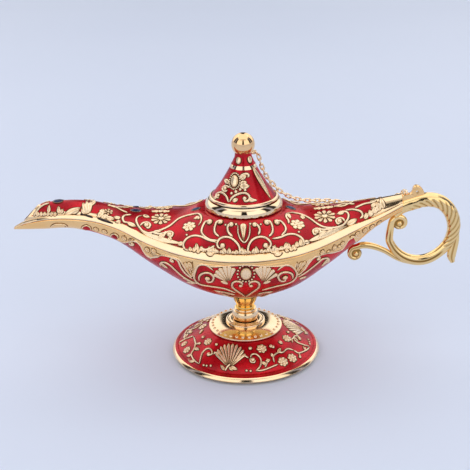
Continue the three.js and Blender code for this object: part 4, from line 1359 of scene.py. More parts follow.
# Collects raised shapes on one surface, each point with the share of its height, which picks a colour that
# is darker lower down: painted shade
class Relief:
    def __init__(self, verts, faces, lift=0.0):
        self.lift = lift
        self.tree = BVHTree.FromPolygons([tuple(v) for v in verts], faces)
        self.eye = Vector(CAMERA_PLACE)
        self.turn = camera_matrix().to_3x3()
        self.verts = []
        self.faces = []
        self.crest = []

    # Surface point and normal behind a pixel, or nearest to its ray in the lamp's middle plane
    def cast(self, pixel):
        ray = pixel_ray(pixel)
        place, normal, _, _ = self.tree.ray_cast(self.eye, ray)
        if place is None:
            place, normal, _, _ = self.tree.find_nearest(self.eye - ray * (self.eye.y / ray.y))
        normal = np.array(-normal if normal.dot(ray) > 0 else normal)
        return np.array(place) + self.lift * normal, normal

    # Surface point nearest to a place, with its normal on the side that the given one faces
    def near(self, point, facing):
        place, normal, _, _ = self.tree.find_nearest(Vector(point))
        normal = np.array(normal if normal.dot(Vector(facing)) > 0 else -normal)
        return np.array(place) + self.lift * normal, normal

    # Axes on the surface behind a pixel: to the right and upwards in the photograph
    def axes(self, normal):
        across = np.array(self.turn @ Vector((1, 0, 0)))
        right = across - normal * across.dot(normal)
        right /= np.linalg.norm(right)
        return right, np.cross(normal, right)

    def sheet(self, rows, crest, wrap=False):
        count, columns = rows.shape[:2]
        self.faces.extend(grid_faces(count, columns, False, wrap, len(self.verts)))
        self.verts.extend(rows.reshape(-1, 3))
        self.crest.extend(np.broadcast_to(crest, (count, columns)).reshape(-1))

    # Raised band along points and normals of the surface, with a low outline on both sides that takes the
    # darkest colour, painted shade at the foot of the band
    def ribbon(self, hits, widths, heights, section):
        places = np.array([place for place, _ in hits])
        normals = np.array([normal for _, normal in hits])
        tangent = np.gradient(places, axis=0)
        for _ in range(2):
            inner = (normals[:-2] + 2 * normals[1:-1] + normals[2:]) / 4
            normals = np.vstack([normals[:1], inner, normals[-1:]])
        side = np.cross(normals, tangent)
        side /= np.linalg.norm(side, axis=1)[:, None] + 1e-9
        across, lift = np.array(section).T
        half = widths[:, None] / 2
        edge = half + OUTLINE_WIDTH
        out = np.hstack([-edge, -edge, half * across, edge, edge])
        none = np.zeros((len(places), 1))
        foot = none - ORNAMENT_SINK
        outline = none + OUTLINE_HEIGHT
        band = np.maximum(heights[:, None] * lift, OUTLINE_HEIGHT)
        up = np.hstack([foot, outline, band, outline, foot])
        crest = np.hstack([none, none, lift * heights[:, None] / heights.max(), none, none])
        rows = places[:, None] + out[..., None] * side[:, None] + up[..., None] * normals[:, None]
        self.sheet(rows, crest)

    # Line through pixels with its thickness along the way
    def stroke(self, pixels, width=STROKE_WIDTH, height=STROKE_HEIGHT, shape=wire_like,
               section=ROUND_SECTION):
        fine = spline(pixels, 12)
        run = run_of(fine)
        count = max(STROKE_POINTS, int(run[-1] / STROKE_STEP))
        line = points_at(np.linspace(0, run[-1], count), run, fine)
        hits = [self.cast(pixel) for pixel in line]
        share = np.maximum(shape(np.linspace(0, 1, count)), THIN_SHARE)
        self.ribbon(hits, width * share, height * np.minimum(1, STROKE_END_HEIGHT + share), section)

    def leaf(self, base, tip, width, shape=pointed):
        middle = (np.array(base, float) + np.array(tip, float)) / 2
        self.stroke([base, middle, tip], width, STROKE_HEIGHT, shape, LEAF_SECTION)

    # Petals from one pixel out to each tip
    def fan(self, base, tips, width):
        base = np.array(base, float)
        for tip in tips:
            tip = np.array(tip, float)
            start = base + (tip - base) * FAN_START
            self.stroke([start, (base + tip) / 2, tip], width, STROKE_HEIGHT, rounded)

    # Round boss whose colour darkens towards a low outer rim, painted shade at its foot
    def dome(self, place, normal, radius, height, stretch=1.0):
        right, up = self.axes(normal)
        rim = 1 + OUTLINE_WIDTH / radius
        share = np.array([rim, rim, *DOME_RINGS])[:, None]
        angle = np.arange(DOME_SIDES) * 2 * math.pi / DOME_SIDES
        circle = np.cos(angle)[:, None] * right + stretch * np.sin(angle)[:, None] * up
        lift = np.sqrt(np.maximum(0, 1 - share * share))
        rise = np.maximum(height * lift, OUTLINE_HEIGHT)
        rise[0] = -ORNAMENT_SINK
        rows = place + radius * share[..., None] * circle + rise[..., None] * normal
        self.sheet(rows, lift, True)

    def dot(self, pixel, radius, height=STROKE_HEIGHT, stretch=1.0):
        place, normal = self.cast(pixel)
        self.dome(place, normal, radius, height, stretch)

    # Domes in a ring about a place
    def dome_ring(self, place, normal, axes, radius, count, size, height, first=0.0):
        right, up = axes
        for k in range(count):
            angle = 2 * math.pi * (k + first) / count
            out = math.cos(angle) * right + math.sin(angle) * up
            spot, facing = self.near(place + radius * out, normal)
            self.dome(spot, facing, size, height)

    # Petals round a place and a ball in their middle
    def petals(self, place, normal, axes, radius, count, width, follow=False):
        right, up = axes
        share = np.maximum(rounded(np.linspace(0, 1, PETAL_POINTS)), THIN_SHARE)
        for k in range(count):
            angle = 2 * math.pi * (k + 0.5) / count
            out = math.cos(angle) * right + math.sin(angle) * up
            reaches = radius * np.linspace(PETAL_START, 1, PETAL_POINTS)
            hits = [self.near(place + out * reach, normal) for reach in reaches]
            if not follow:
                hits = [(spot, normal) for spot, _ in hits]
            self.ribbon(hits, width * share, 0.5 * STROKE_HEIGHT * (1 + share), LEAF_SECTION)
        self.dome(place, normal, radius * FLOWER_MIDDLE, STROKE_HEIGHT * DAISY_MIDDLE_HEIGHT)

    def daisy(self, pixel, radius, count, width):
        place, normal = self.cast(pixel)
        self.petals(place, normal, self.axes(normal), radius, count, width)

    # Daisy that sits across the ridge
    def ridge_daisy(self, pixel, radius, count, width):
        x = self.cast(pixel)[0][0]
        top = np.array([x, 0, ridge_height(x) + BODY_BASE])
        axes = (np.array([1, 0, 0]), np.array([0, RIDGE_FLOWER_DEPTH, 0]))
        self.petals(top, UPWARD, axes, radius, count, width, True)

    # Full flower: rings of round petals about a ball
    def rose(self, pixel, radius):
        place, normal = self.cast(pixel)
        axes = self.axes(normal)
        for ring, count, size in ROSE_RINGS:
            height = STROKE_HEIGHT * (ROSE_HEIGHT - ring)
            self.dome_ring(place, normal, axes, radius * ring, count, radius * size, height, ring)
        self.dome(place, normal, radius * FLOWER_MIDDLE, STROKE_HEIGHT * ROSE_MIDDLE_HEIGHT)

    def beads(self, pixel, radius, stretch, count, size):
        place, normal = self.cast(pixel)
        right, up = self.axes(normal)
        self.dome_ring(place, normal, (right, stretch * up), radius, count, size, size)

    def mirrored(self):
        first = len(self.verts)
        self.faces.extend([tuple(i + first for i in face[::-1]) for face in self.faces])
        self.verts.extend([v * MIRROR for v in self.verts])
        self.crest.extend(list(self.crest))

    # The same shapes again, turned about Z by each of the angles
    def turned_copies(self, *angles):
        verts = np.array(self.verts)
        faces = list(self.faces)
        crest = list(self.crest)
        for angle in angles:
            turn = np.array(Matrix.Rotation(math.radians(angle), 3, "Z"))
            first = len(self.verts)
            self.faces.extend([tuple(i + first for i in face) for face in faces])
            self.verts.extend(verts @ turn.T)
            self.crest.extend(crest)

    def finish(self, name, material, body="body", slot="gold"):
        obj = piece(name, self.verts, self.faces, [material], body=body, slot=slot, sharp=60)
        set_crest(obj, self.crest)


# Ornament of the upper shell. Strokes are lists of pixels, balls are a pixel and a radius in millimetres,
# leaves are a base, a tip and a width in millimetres.
UPPER_STROKES = {
    "left_stem": [
        (142.8, 215.4), (137.1, 217.7), (136.6, 222.5), (140, 228.3), (145.7, 233), (152.4, 232.6),
        (162, 229.7), (170.6, 225.4), (179.2, 218.7), (188.8, 215.4), (198.3, 213.9), (201.2, 216.8),
        (201.2, 221.6), (198.3, 225.9),
    ],
    "left_volute": [(140, 226), (143.5, 223), (148, 222.6), (150.3, 225.4), (148.6, 228), (145.6, 227.4)],
    "left_hook": [(131.4, 214.9), (125.6, 215.4), (122.7, 217.7), (123.7, 221.6), (128.5, 223)],
    "left_vine": [(107.4, 205.8), (114.1, 206.7), (121.8, 210.6), (127.5, 213)],
    "left_branch": [(152.4, 232.6), (158, 234), (163, 233.5), (167, 231.5)],
    "left_low_curl": [(163, 238), (166, 233), (170.5, 231.6), (173, 234), (170.8, 237), (168, 235.6)],
    "left_petal_1": [
        (218.4, 240.7), (209.8, 239.7), (203.1, 235), (201.7, 230.2), (205, 222.5), (209, 220.8),
    ],
    "left_petal_2": [(219.4, 236.9), (215.1, 233), (214.6, 228.3), (216.5, 222.5), (219.5, 220.6)],
    "left_petal_3": [(232.8, 236.9), (228.9, 233), (227.5, 228.3), (228.5, 225.4), (231, 223.4)],
    "left_heart": [
        (239.5, 255), (239.2, 246.5), (232.8, 239.2), (226.1, 237), (219.8, 239), (217.2, 243.6),
        (218.6, 247.6), (222.5, 248.4),
    ],
    "left_comma": [
        (217, 242.6), (207.9, 239.7), (200.2, 236.4), (193.5, 235.9), (186.8, 238.8), (183.4, 244),
        (184.9, 249.3), (188.8, 251.2),
    ],
    "left_scallop": [(200.2, 247.4), (205, 249.8), (210.8, 248.4), (214.6, 245.6)],
    "right_heart": [
        (248.1, 255), (248.3, 246.6), (252.4, 240), (259.1, 237), (265.8, 238), (270.6, 242.6),
        (269.7, 247.2), (266, 248.4),
    ],
    "right_comma": [
        (272, 239), (280.2, 237.4), (287.8, 234.5), (294.5, 234.5), (301.2, 237.8), (304.1, 242.6),
        (302.7, 246.4),
    ],
    "right_scallop": [(272, 246.5), (277, 249.2), (283, 248.6), (287.5, 246.2)],
    "right_petal_1": [(281.1, 235.9), (285.4, 231.1), (285, 226.4), (281.1, 221.6), (277.5, 220.6)],
    "right_petal_2": [(268.7, 236.9), (272.5, 232.1), (272, 225.4), (269.7, 221.6), (267, 220.8)],
    "right_petal_3": [(258.2, 235), (259.6, 231.1), (259.1, 227.3), (255.6, 223.6)],
    "right_stem": [
        (286.9, 213), (293.6, 213), (302.2, 214.9), (309.8, 218.7), (316.5, 223.5), (324.2, 227.3),
        (333.8, 227.8), (342.4, 225.4), (347.1, 220.6), (348.6, 215.8), (346.2, 212), (340.4, 212),
        (336.6, 214.9),
    ],
    "right_root": [(286.9, 213), (286, 217), (288.2, 220.5), (288.6, 224)],
    "right_volute": [(345, 222), (342.5, 218.6), (338.4, 218.4), (336, 221), (337.6, 223.8), (340.4, 223)],
    "right_low_curl": [(321, 235), (320, 230.6), (316.4, 228.6), (313, 231), (314.4, 234.6), (317, 233.2)],
    "right_branch": [(333.8, 227.8), (327, 229.4), (321.5, 229.6), (318.5, 228)],
    "tail_hook": [(345.2, 210.6), (352.9, 209.6), (360.5, 211.5), (362.5, 215.8), (359.6, 218.7)],
    "tail_vine": [(354.8, 208.2), (363.4, 204.3), (372, 202.4), (376.8, 200.5)],
    "tail_top_vine": [(333.8, 207.2), (343.3, 204.3), (354.8, 204.3)],
}
UPPER_BALLS = [
    (146.4, 225.4, 1.3), (169.4, 234.8, 1.3), (209.8, 222.2, 1.5), (220.3, 222.3, 1.45),
    (231.3, 224.6, 1.2), (225.6, 224.9, 0.5), (236.1, 224.4, 0.6), (222.6, 245.8, 1.25),
    (265.6, 245.6, 1.25), (276.6, 222.4, 1.5), (266.6, 222.6, 1.45), (254.6, 224.8, 1.2),
    (260.8, 224.4, 0.5), (250.2, 224, 0.6), (339.6, 221.4, 1.3), (316.4, 231.8, 1.3), (186.8, 235, 0.6),
    (298.8, 232.1, 0.6), (198.6, 218.4, 0.9),
]
UPPER_LEAVES = [
    ((143, 215.2), (149.8, 218), 2.4), ((199.5, 216.5), (193.5, 219.5), 2.2),
    ((120.5, 218.5), (113.5, 217), 2.4), ((121, 221.5), (115, 222.5), 2.2),
    ((127, 222.4), (136.5, 227), 2.4), ((152.4, 233), (162, 230.6), 2.2),
    ((163.5, 233.6), (158, 239.5), 2.2), ((168, 237.5), (172, 241), 2.0),
    ((183.5, 243), (177.5, 244.8), 2.4), ((191, 252), (189.5, 246.5), 1.9),
    ((194, 253), (194.2, 246.5), 1.9), ((197.5, 254), (199.5, 248.5), 1.9),
    ((213, 256), (205.5, 252.5), 2.2), ((213.5, 255), (209, 249.5), 2.2), ((215, 254), (214.5, 247.5), 2.2),
    ((304.2, 243), (310, 241.6), 2.4), ((294, 251), (296, 246), 1.9), ((291, 252), (291.5, 246.5), 1.9),
    ((287.5, 253), (286, 248), 1.9), ((274.5, 256), (283, 252.5), 2.2), ((274, 255), (279.5, 249.5), 2.2),
    ((272.5, 254), (273, 247.5), 2.2), ((287.8, 213.4), (290.4, 219.2), 2.2),
    ((303.4, 219.6), (301.6, 214.6), 2.2), ((318.5, 233.6), (328, 231.4), 2.2),
    ((326, 229.6), (334.5, 229.8), 2.0), ((320, 235), (318.6, 239.5), 2.0),
    ((346.8, 225), (357.4, 218.8), 2.8), ((338, 214.6), (345, 211.6), 2.4), ((364, 219), (368.5, 213), 2.2),
    ((369, 216.6), (374, 209.6), 2.2), ((374, 213.6), (378.4, 205.6), 2.2), ((371, 207.4), (377, 202), 2.0),
    ((100, 213.4), (104, 209), 2.2), ((103, 215.6), (109, 217.6), 2.4), ((106, 217.6), (115, 219.4), 2.4),
]
UPPER_DAISIES = [(161, 218.7, 4.7, 10, 2.3), (324.7, 216.3, 5.0, 10, 2.4), (108.4, 212, 2.1, 6, 1.6)]
UPPER_RIDGE_FLOWERS = [(161, 210, 4.4, 10, 2.0), (323.2, 207.2, 4.8, 10, 2.0)]
UPPER_ROSES = [(189.2, 226.4, 2.9), (297.4, 224.4, 3.2)]
BLUE_OVALS = [(135.7, 210.6, 2.5), (195.9, 209.1, 2.0), (290.7, 207.7, 2.2), (58, 201.2, 2.2)]
OVAL_RIM = 0.15
OVAL_RIM_HEIGHT = 0.35
OVAL_HEIGHT = 0.55
OVAL_STRETCH = 0.75
OVAL_BACK_SHIFT = 0.55
RIDGE_FLOWER_DEPTH = 0.3
TEARDROP_TOP = (243.2, 223.5)
TEARDROP_END = (243.6, 241.5)
TEARDROP_WIDTH = 3.4

# Leaf fringe along the inner edge of the rim band: first and last place along the body, step and length
BAND_FRINGE = (-21, 25, 1.75, 3.6)
FRINGE_POINTS = 8
FRINGE_CUT = 0.12
FRINGE_INSET = 0.3
FRINGE_LEAN = 0.7
FRINGE_RISE = 0.45
FRINGE_BREADTH = 1.25
FRINGE_DROP = 0.25
FRINGE_LEAN_TURN = 2.4
FRINGE_HEIGHT_TURN = 1.7
SPOUT_LEAVES = [
    ((48.6, 213.4), (49.2, 204.7), 1.8), ((59, 214), (58.4, 206), 2.0), ((60.6, 213.6), (63.4, 208.8), 1.8),
    ((64.5, 214.4), (81, 207.4), 2.8), ((72, 213.6), (80, 209.6), 2.0), ((86.6, 214.4), (83, 202.4), 2.8),
    ((87.4, 214.4), (87, 200.6), 2.8), ((88.2, 213.6), (91, 200.8), 2.4), ((89, 206.6), (96, 200.6), 2.2),
    ((85.4, 214), (81.2, 208.6), 2.2), ((97.6, 218), (104.6, 210), 2.8), ((101.6, 219), (107, 215.4), 2.4),
]
SPOUT_FRINGE = (37.4, 58, 3.5)
SPOUT_FRINGE_BASE = 216.6
SPOUT_FRINGE_TIP = 211.4
SPOUT_FRINGE_LEAN = 0.6
SPOUT_FRINGE_WIDTH = 1.9

# Plain shapes of the upper shell: edge of the mouth, gold between stems and band, edge of the teardrop
MOUTH_RIM = [(33.6, 216.6), (36.6, 211.6), (40, 207.6), (44.6, 204.8), (49.4, 203.4)]
UPPER_FILLERS = [
    [(139, 229), (150, 235.4), (162, 239.6), (174, 242.2), (185, 244)],
    [(308, 241.6), (318, 237.6), (328, 233.6), (338, 229.6), (348, 225.4)],
]
FILLER_WIDTH = 2.6
FILLER_HEIGHT = 0.3
MOUTH_RIM_WIDTH = 1.0
TEARDROP_EDGE = [
    (237.9, 224.8), (238.2, 233), (240.6, 239.5), (244.4, 242.6), (247.6, 239.4), (249.6, 233),
    (249.8, 224.8),
]
FINE_WIDTH = 0.7

# Dark gaps between leaves, drawn as lines that are all outline: painted shade
GAP_WIDTH = 0.05
UPPER_GAPS = [
    [(80.8, 213.7), (86.4, 215), (92.3, 216.9)], [(97, 217.4), (104, 219.8), (112.6, 223)],
    [(64.6, 214.6), (68, 213.4), (71, 212.6)],
]

# Black strokes along the dark gaps between the leaves and the rim band: painted shade
BLACK_SHADE_LINES = [
    [(80.2, 214.2), (86.4, 215.4), (92.8, 217.8)], [(97.4, 218.2), (104.6, 220.4), (113, 223.6)],
    [(303, 243.8), (306.8, 242.8), (311, 240.8)], [(151, 234.6), (155.6, 233.8), (160.4, 232)],
]
BLACK_SHADE_WIDTH = 1.1
BLACK_SHADE_HEIGHT = 0.35
TAIL_LEAVES = [
    ((367, 218.6), (365.6, 212.4), 2.2), ((371, 216.6), (369.4, 209.6), 2.4),
    ((375.4, 214), (373.4, 205.6), 2.6), ((379.4, 211.6), (377.2, 201.6), 2.8),
    ((383.4, 209), (380.6, 197.8), 3.0),
]
# Dark line between the tail's gold end and the rim band: painted shade in the groove
TAIL_LINE = [(384, 208.7), (391.4, 205.8), (398.9, 202.4)]


def upper_surface():
    outer, _ = dome_grids(2 * STATIONS)
    return outer.reshape(-1, 3), grid_faces(*outer.shape[:2])


def draw(relief, strokes, balls, leaves, width=STROKE_WIDTH):
    for pixels in strokes.values():
        relief.stroke(pixels, width)
    for u, v, radius in balls:
        relief.dot((u, v), radius, BALL_HEIGHT * radius)
    for base, tip, breadth in leaves:
        relief.leaf(base, tip, breadth)


# Leaves in a row on the inner edge of the band, which lean by turns and differ in height
def band_fringe(relief):
    first, last, step, length = BAND_FRINGE
    share = np.maximum(pointed(np.linspace(FRINGE_CUT, 1, FRINGE_POINTS)), THIN_SHARE)
    for k, x in enumerate(np.arange(first, last, step)):
        _, reach, rise = (float(v) for v in rim_section(x))
        base = np.array([x, -reach - FRINGE_INSET, rise + BODY_BASE])
        lean = FRINGE_LEAN * math.sin(FRINGE_LEAN_TURN * k)
        tall = length * (1 - FRINGE_DROP + FRINGE_DROP * math.cos(FRINGE_HEIGHT_TURN * k))
        way = np.array([lean, tall, FRINGE_RISE * tall])
        hits = [relief.near(base + way * s, UPWARD) for s in np.linspace(0, 1, FRINGE_POINTS)]
        heights = STROKE_HEIGHT * (0.4 + 0.6 * share)
        relief.ribbon(hits, FRINGE_BREADTH * step * share, heights, LEAF_SECTION)


def make_upper_ornament():
    surface = upper_surface()
    relief = Relief(*surface)
    draw(relief, UPPER_STROKES, UPPER_BALLS, UPPER_LEAVES + SPOUT_LEAVES + TAIL_LEAVES)
    for u, v, *flower in UPPER_DAISIES:
        relief.daisy((u, v), *flower)
    for u, v, radius in UPPER_ROSES:
        relief.rose((u, v), radius)
    for u in np.arange(*SPOUT_FRINGE):
        tip = (u + SPOUT_FRINGE_LEAN, SPOUT_FRINGE_TIP)
        relief.leaf((u, SPOUT_FRINGE_BASE), tip, SPOUT_FRINGE_WIDTH)
    relief.stroke(MOUTH_RIM, MOUTH_RIM_WIDTH)
    for pixels in UPPER_FILLERS:
        relief.stroke(pixels, FILLER_WIDTH, FILLER_HEIGHT, pointed)
    relief.leaf(TEARDROP_END, TEARDROP_TOP, TEARDROP_WIDTH, rounded)
    relief.stroke(TEARDROP_EDGE, FINE_WIDTH)
    band_fringe(relief)
    # Dark gap lines, painted shade
    for pixels in (*UPPER_GAPS, TAIL_LINE):
        relief.stroke(pixels, GAP_WIDTH)
    relief.mirrored()
    for u, v, *flower in UPPER_RIDGE_FLOWERS:
        relief.ridge_daisy((u, v), *flower)
    ovals = Relief(*surface)
    for place, normal, radius in oval_places(relief):
        relief.dome(place, normal, radius + OVAL_RIM, OVAL_RIM_HEIGHT, OVAL_STRETCH)
        ovals.dome(place, normal, radius, OVAL_HEIGHT, OVAL_STRETCH)
    # Black strokes on the gaps between leaves and band, painted shade
    black_shade = Relief(*surface)
    for pixels in BLACK_SHADE_LINES:
        black_shade.stroke(pixels, BLACK_SHADE_WIDTH, BLACK_SHADE_HEIGHT, pointed)
    black_shade.mirrored()
    black_shade.finish("black_painted_shade_lines", SHADE_BLACK, slot="red_enamel")
    relief.finish("upper_ornament", RELIEF)
    ovals.finish("blue_ovals", BLUE, slot="red_enamel")


# Places of the blue ovals at the front, and at the back a little further down the slope
def oval_places(relief):
    spots = []
    for u, v, radius in BLUE_OVALS:
        place, normal = relief.cast((u, v))
        spots.append((place, normal, radius))
        shift = np.array([0, OVAL_BACK_SHIFT * float(half_width(place[0])), 0])
        spots.append((*relief.near(place * MIRROR + shift, normal * MIRROR), radius))
    return spots


# Ornament of the lower shell
BORDER_EDGE = [
    (89, 228.6), (95, 230.8), (105, 233.8), (111, 235.8), (118, 239.4), (124.7, 242.2), (131.6, 241),
    (137, 242), (140.8, 245.4), (143.6, 251), (148, 256.2), (153, 256.6), (162.2, 255.2), (173, 257.5),
    (179, 259.2), (183, 265), (187, 271), (192, 276), (194.2, 271.5), (197.8, 265.1), (205.7, 264.6),
    (213, 266.5), (225, 266), (246, 265), (264, 266), (277.6, 266), (284.5, 265.1), (291.4, 266.1),
    (295.4, 270), (297.5, 274.5), (303.3, 270), (308.2, 262.2), (315.1, 256.4), (319, 255.4), (326, 253.3),
    (333.9, 251.8), (340.8, 249.3), (344.8, 245.4), (348.7, 240), (353.7, 237.5),
]
LOWER_STROKES = {
    "left_wave": [
        (129.2, 242.8), (132.6, 240.8), (137, 241.8), (141, 245.8), (143.8, 251.2), (148.4, 256.2),
        (154, 257), (160, 256.2),
    ],
    "left_wave_curl": [(129.2, 242.8), (130.4, 244.6), (133, 244.8), (134, 243)],
    "left_low_1": [
        (162, 266.6), (160.4, 263.6), (164, 262), (169.6, 264.4), (175.1, 269.4), (182, 275.4),
        (190.6, 280.6), (198, 283.4),
    ],
    "left_low_2": [
        (173.6, 262.6), (170.6, 260.4), (173, 258), (178, 260.6), (181, 267), (186, 273.6), (193, 278.6),
    ],
    "left_volute": [
        (213.8, 270.4), (206, 264.9), (198.6, 265.4), (195.2, 271.6), (194.6, 278.6), (199.4, 283.6),
        (208.6, 285.8), (223.3, 288), (236.2, 292.6),
    ],
    "left_curl": [
        (199.4, 281), (199.4, 276.4), (203, 273.2), (209.5, 273), (213.6, 277), (212, 281.4),
        (207.8, 281.6), (206, 278.6),
    ],
    "left_heart": [
        (245.4, 296.4), (238, 291.4), (232.6, 287.1), (232.8, 282.8), (237.1, 281.1), (242, 282.8),
        (242.2, 285.8),
    ],
    "right_heart": [
        (245.8, 296.4), (253.4, 291.4), (258.8, 287.1), (258.6, 282.8), (254.4, 281.1), (249.6, 282.8),
        (249.4, 285.8),
    ],
    "right_volute": [
        (277, 270.4), (284.5, 265.1), (291.4, 266.1), (296.2, 271.4), (296, 277), (291.6, 281.4),
        (284, 284.2), (274.4, 286.4), (261.5, 289.9),
    ],
    "right_curl": [
        (292.6, 279), (292.2, 274.6), (288.6, 272.2), (282, 272.6), (278.2, 276.2), (280, 280.4),
        (284.4, 280.8), (286, 277.8),
    ],
    "right_low_1": [
        (297.4, 277), (306, 271.8), (315.8, 264.2), (322.4, 258.8), (327.6, 258.2), (328.6, 261),
        (325.6, 262.6),
    ],
    "right_low_2": [
        (303.6, 270.6), (309.4, 262), (314.4, 257), (318.6, 256.4), (319.6, 258.6), (317.2, 260),
    ],
    "right_wave": [
        (360, 237.4), (354.6, 236.4), (348.5, 239.7), (345, 244.9), (341.5, 249.2), (334.7, 251.8),
        (326.1, 253.3),
    ],
}
LOWER_BALLS = [
    (207.6, 278.2, 1.3), (285, 277.2, 1.3), (240.6, 285.6, 0.9), (251, 285.6, 0.9), (172.6, 261, 0.9),
    (317.8, 258.8, 0.8), (132.4, 243.4, 0.9),
]
LOWER_LEAVES = [
    ((161, 263.4), (168.4, 268.2), 2.4), ((328.8, 258.6), (322.6, 263.6), 2.4),
    ((228, 283.6), (220.6, 280.8), 2.0), ((235.4, 294.4), (213.5, 290), 2.2),
    ((234, 297), (222, 293.6), 1.8), ((257.6, 293.6), (273, 291), 2.2), ((258, 297), (269, 294), 1.8),
    ((263.2, 283), (271, 280.8), 2.0), ((183, 277), (191.6, 281.4), 2.2), ((187, 281.6), (195, 283.4), 2.0),
    ((299, 278.6), (306.5, 276.2), 2.0), ((152, 259), (146.4, 253.6), 2.0),
    ((321, 265.6), (330, 259.4), 2.4), ((186, 262), (191.6, 275.5), 2.2), ((189.6, 262), (193.2, 272), 2.0),
    ((183.6, 261), (188, 271), 2.0), ((301.4, 261), (297.6, 273), 2.2),
    ((305.6, 260.4), (300.8, 270.6), 2.0), ((297.6, 262), (295.8, 268.6), 2.0),
    ((310.4, 258), (305, 266), 1.8),
]
LOWER_FANS = [
    (
        (228.9, 283),
        [(213.6, 274), (215.8, 270.4), (219.4, 267.6), (224.2, 266), (229.3, 266), (234, 267.6)],
    ),
    ((263.2, 283), [(256, 267.6), (260, 266.4), (265, 266), (269.6, 267), (274, 269.4), (277.4, 273.6)]),
]
LOWER_OVAL = (246, 273.8)
LOWER_OVAL_WIDTH = 2.5
LOWER_OVAL_STRETCH = 1.38
LOWER_OVAL_HEIGHT = 0.8
LOWER_FAN_WIDTH = 2.5
BORDER_HEIGHT = 0.4
BORDER_LINE = 1.5
BORDER_LINE_WIDTH = 0.22
BORDER_LINE_DEPTH = 0.4
BORDER_START = 0.3
BORDER_EASE = 4
BORDER_STATIONS = 500
BORDER_COLUMNS = 23

# Beads round the oval: radius of their ring, its stretch upwards, their number and the radius of each
LOWER_OVAL_BEADS = (LOWER_OVAL_WIDTH + 1.2, 1.22, 16, 0.5)

# Small flowers and leaves on the border, and red spots under the spout with a ring over each
BORDER_FLOWERS = [
    (96.3, 228.8), (104.9, 231), (124.6, 238), (147.6, 249.4), (154, 250.6), (322, 252.2), (334, 247.4),
    (342, 243.6), (357, 233.6), (364.4, 230), (371.6, 226.4), (378.8, 222.6),
]
BORDER_FLOWER = 1.25
BORDER_LEAVES = [
    ((150.6, 253.4), (160.8, 254.4), 1.6), ((185, 261.4), (189.4, 268.6), 2.0),
    ((188.6, 261), (192.4, 268), 2.0), ((301.6, 261), (298.6, 268.4), 2.0),
    ((305, 260.4), (301, 266.4), 2.0), ((326, 252), (331, 250), 1.6), ((337, 246.6), (340.4, 244.8), 1.6),
    ((349.4, 238), (354, 235.2), 1.8), ((128.6, 240), (134.6, 239.4), 1.4),
]
# Dark lines between the plume leaves, all outline: painted shade in the gaps
PLUME_GAP_SHADE = [
    [(183.4, 262), (187.4, 268), (191.6, 273.8)], [(187.8, 261.6), (190.2, 267), (192.2, 272.4)],
    [(192.4, 261.6), (193, 266), (193, 270.4)], [(306.4, 261.4), (302.4, 267), (298.4, 272.4)],
    [(302, 261), (299.6, 266.6), (297.4, 271.4)], [(297, 261.4), (296.6, 265.4), (296.4, 269)],
]
RED_SPOTS = [(86, 227.6, 1.9), (114.5, 236.4, 1.6)]
SPOT_HEIGHT = 0.3
SPOT_STRETCH = 0.8
SPOT_RINGS = {
    "first": [(81.6, 228.4), (83.4, 225.8), (86.8, 224.9), (90.2, 226.4), (91.6, 229.4)],
    "second": [(110.6, 236.2), (112.2, 233.9), (115.2, 233.3), (118, 235), (118.8, 237.6)],
    "curl": [(50.6, 226.2), (54.6, 223.8), (59.6, 223.4), (64, 223.6), (67, 225.4), (65, 226.4)],
}


# Share of the half turn from the rim at which the border ends, along the body
def border_line(relief):
    at = []
    share = []
    for pixel in BORDER_EDGE:
        place, _ = relief.cast(pixel)
        _, top, bottom = lower_section(place[0])
        drop = (top - (place[2] - BODY_BASE)) / (top - bottom)
        at.append(place[0])
        share.append(math.asin(min(1, max(0, float(drop)))) / math.pi)
    order = np.argsort(at)
    at = np.array(at)[order]
    share = np.array(share)[order]
    at = np.concatenate([[-SPOUT_REACH, at[0] - BORDER_EASE], at, [at[-1] + BORDER_EASE, TAIL_REACH]])
    share = np.concatenate([[0.5, 0.5], share, [0.5, 0.5]])
    return lambda x: np.interp(x, at, share)


# Smooth gold border under the rim, with a fine line along it
def add_border(relief):
    x = np.linspace(-SPOUT_REACH + BORDER_START, TAIL_REACH, BORDER_STATIONS)
    columns = np.concatenate([[0, 0.02], np.linspace(0.05, 0.95, BORDER_COLUMNS), [0.98, 1]])
    share = border_line(relief)(x)[:, None] * columns
    width, top, bottom = lower_section(x)
    rows = bowl_rows(x, width, top, top - bottom, share)
    normal_y = rows[..., 1] / width[:, None] ** 2
    normal_z = (rows[..., 2] - BODY_BASE - top[:, None]) / (top - bottom)[:, None] ** 2
    size = np.hypot(normal_y, normal_z)
    depth = share * math.pi * (0.5 * (width + top - bottom))[:, None]
    line = np.exp(-((depth - BORDER_LINE) / BORDER_LINE_WIDTH) ** 2)
    edges = np.minimum(1, np.minimum(columns / 0.04, (1 - columns) / 0.05)) ** 0.5
    height = edges * BORDER_HEIGHT * (1 - BORDER_LINE_DEPTH * line) - ORNAMENT_SINK
    rows[..., 1] += normal_y / size * height
    rows[..., 2] += normal_z / size * height
    relief.sheet(rows[:, ::-1], 1.0)


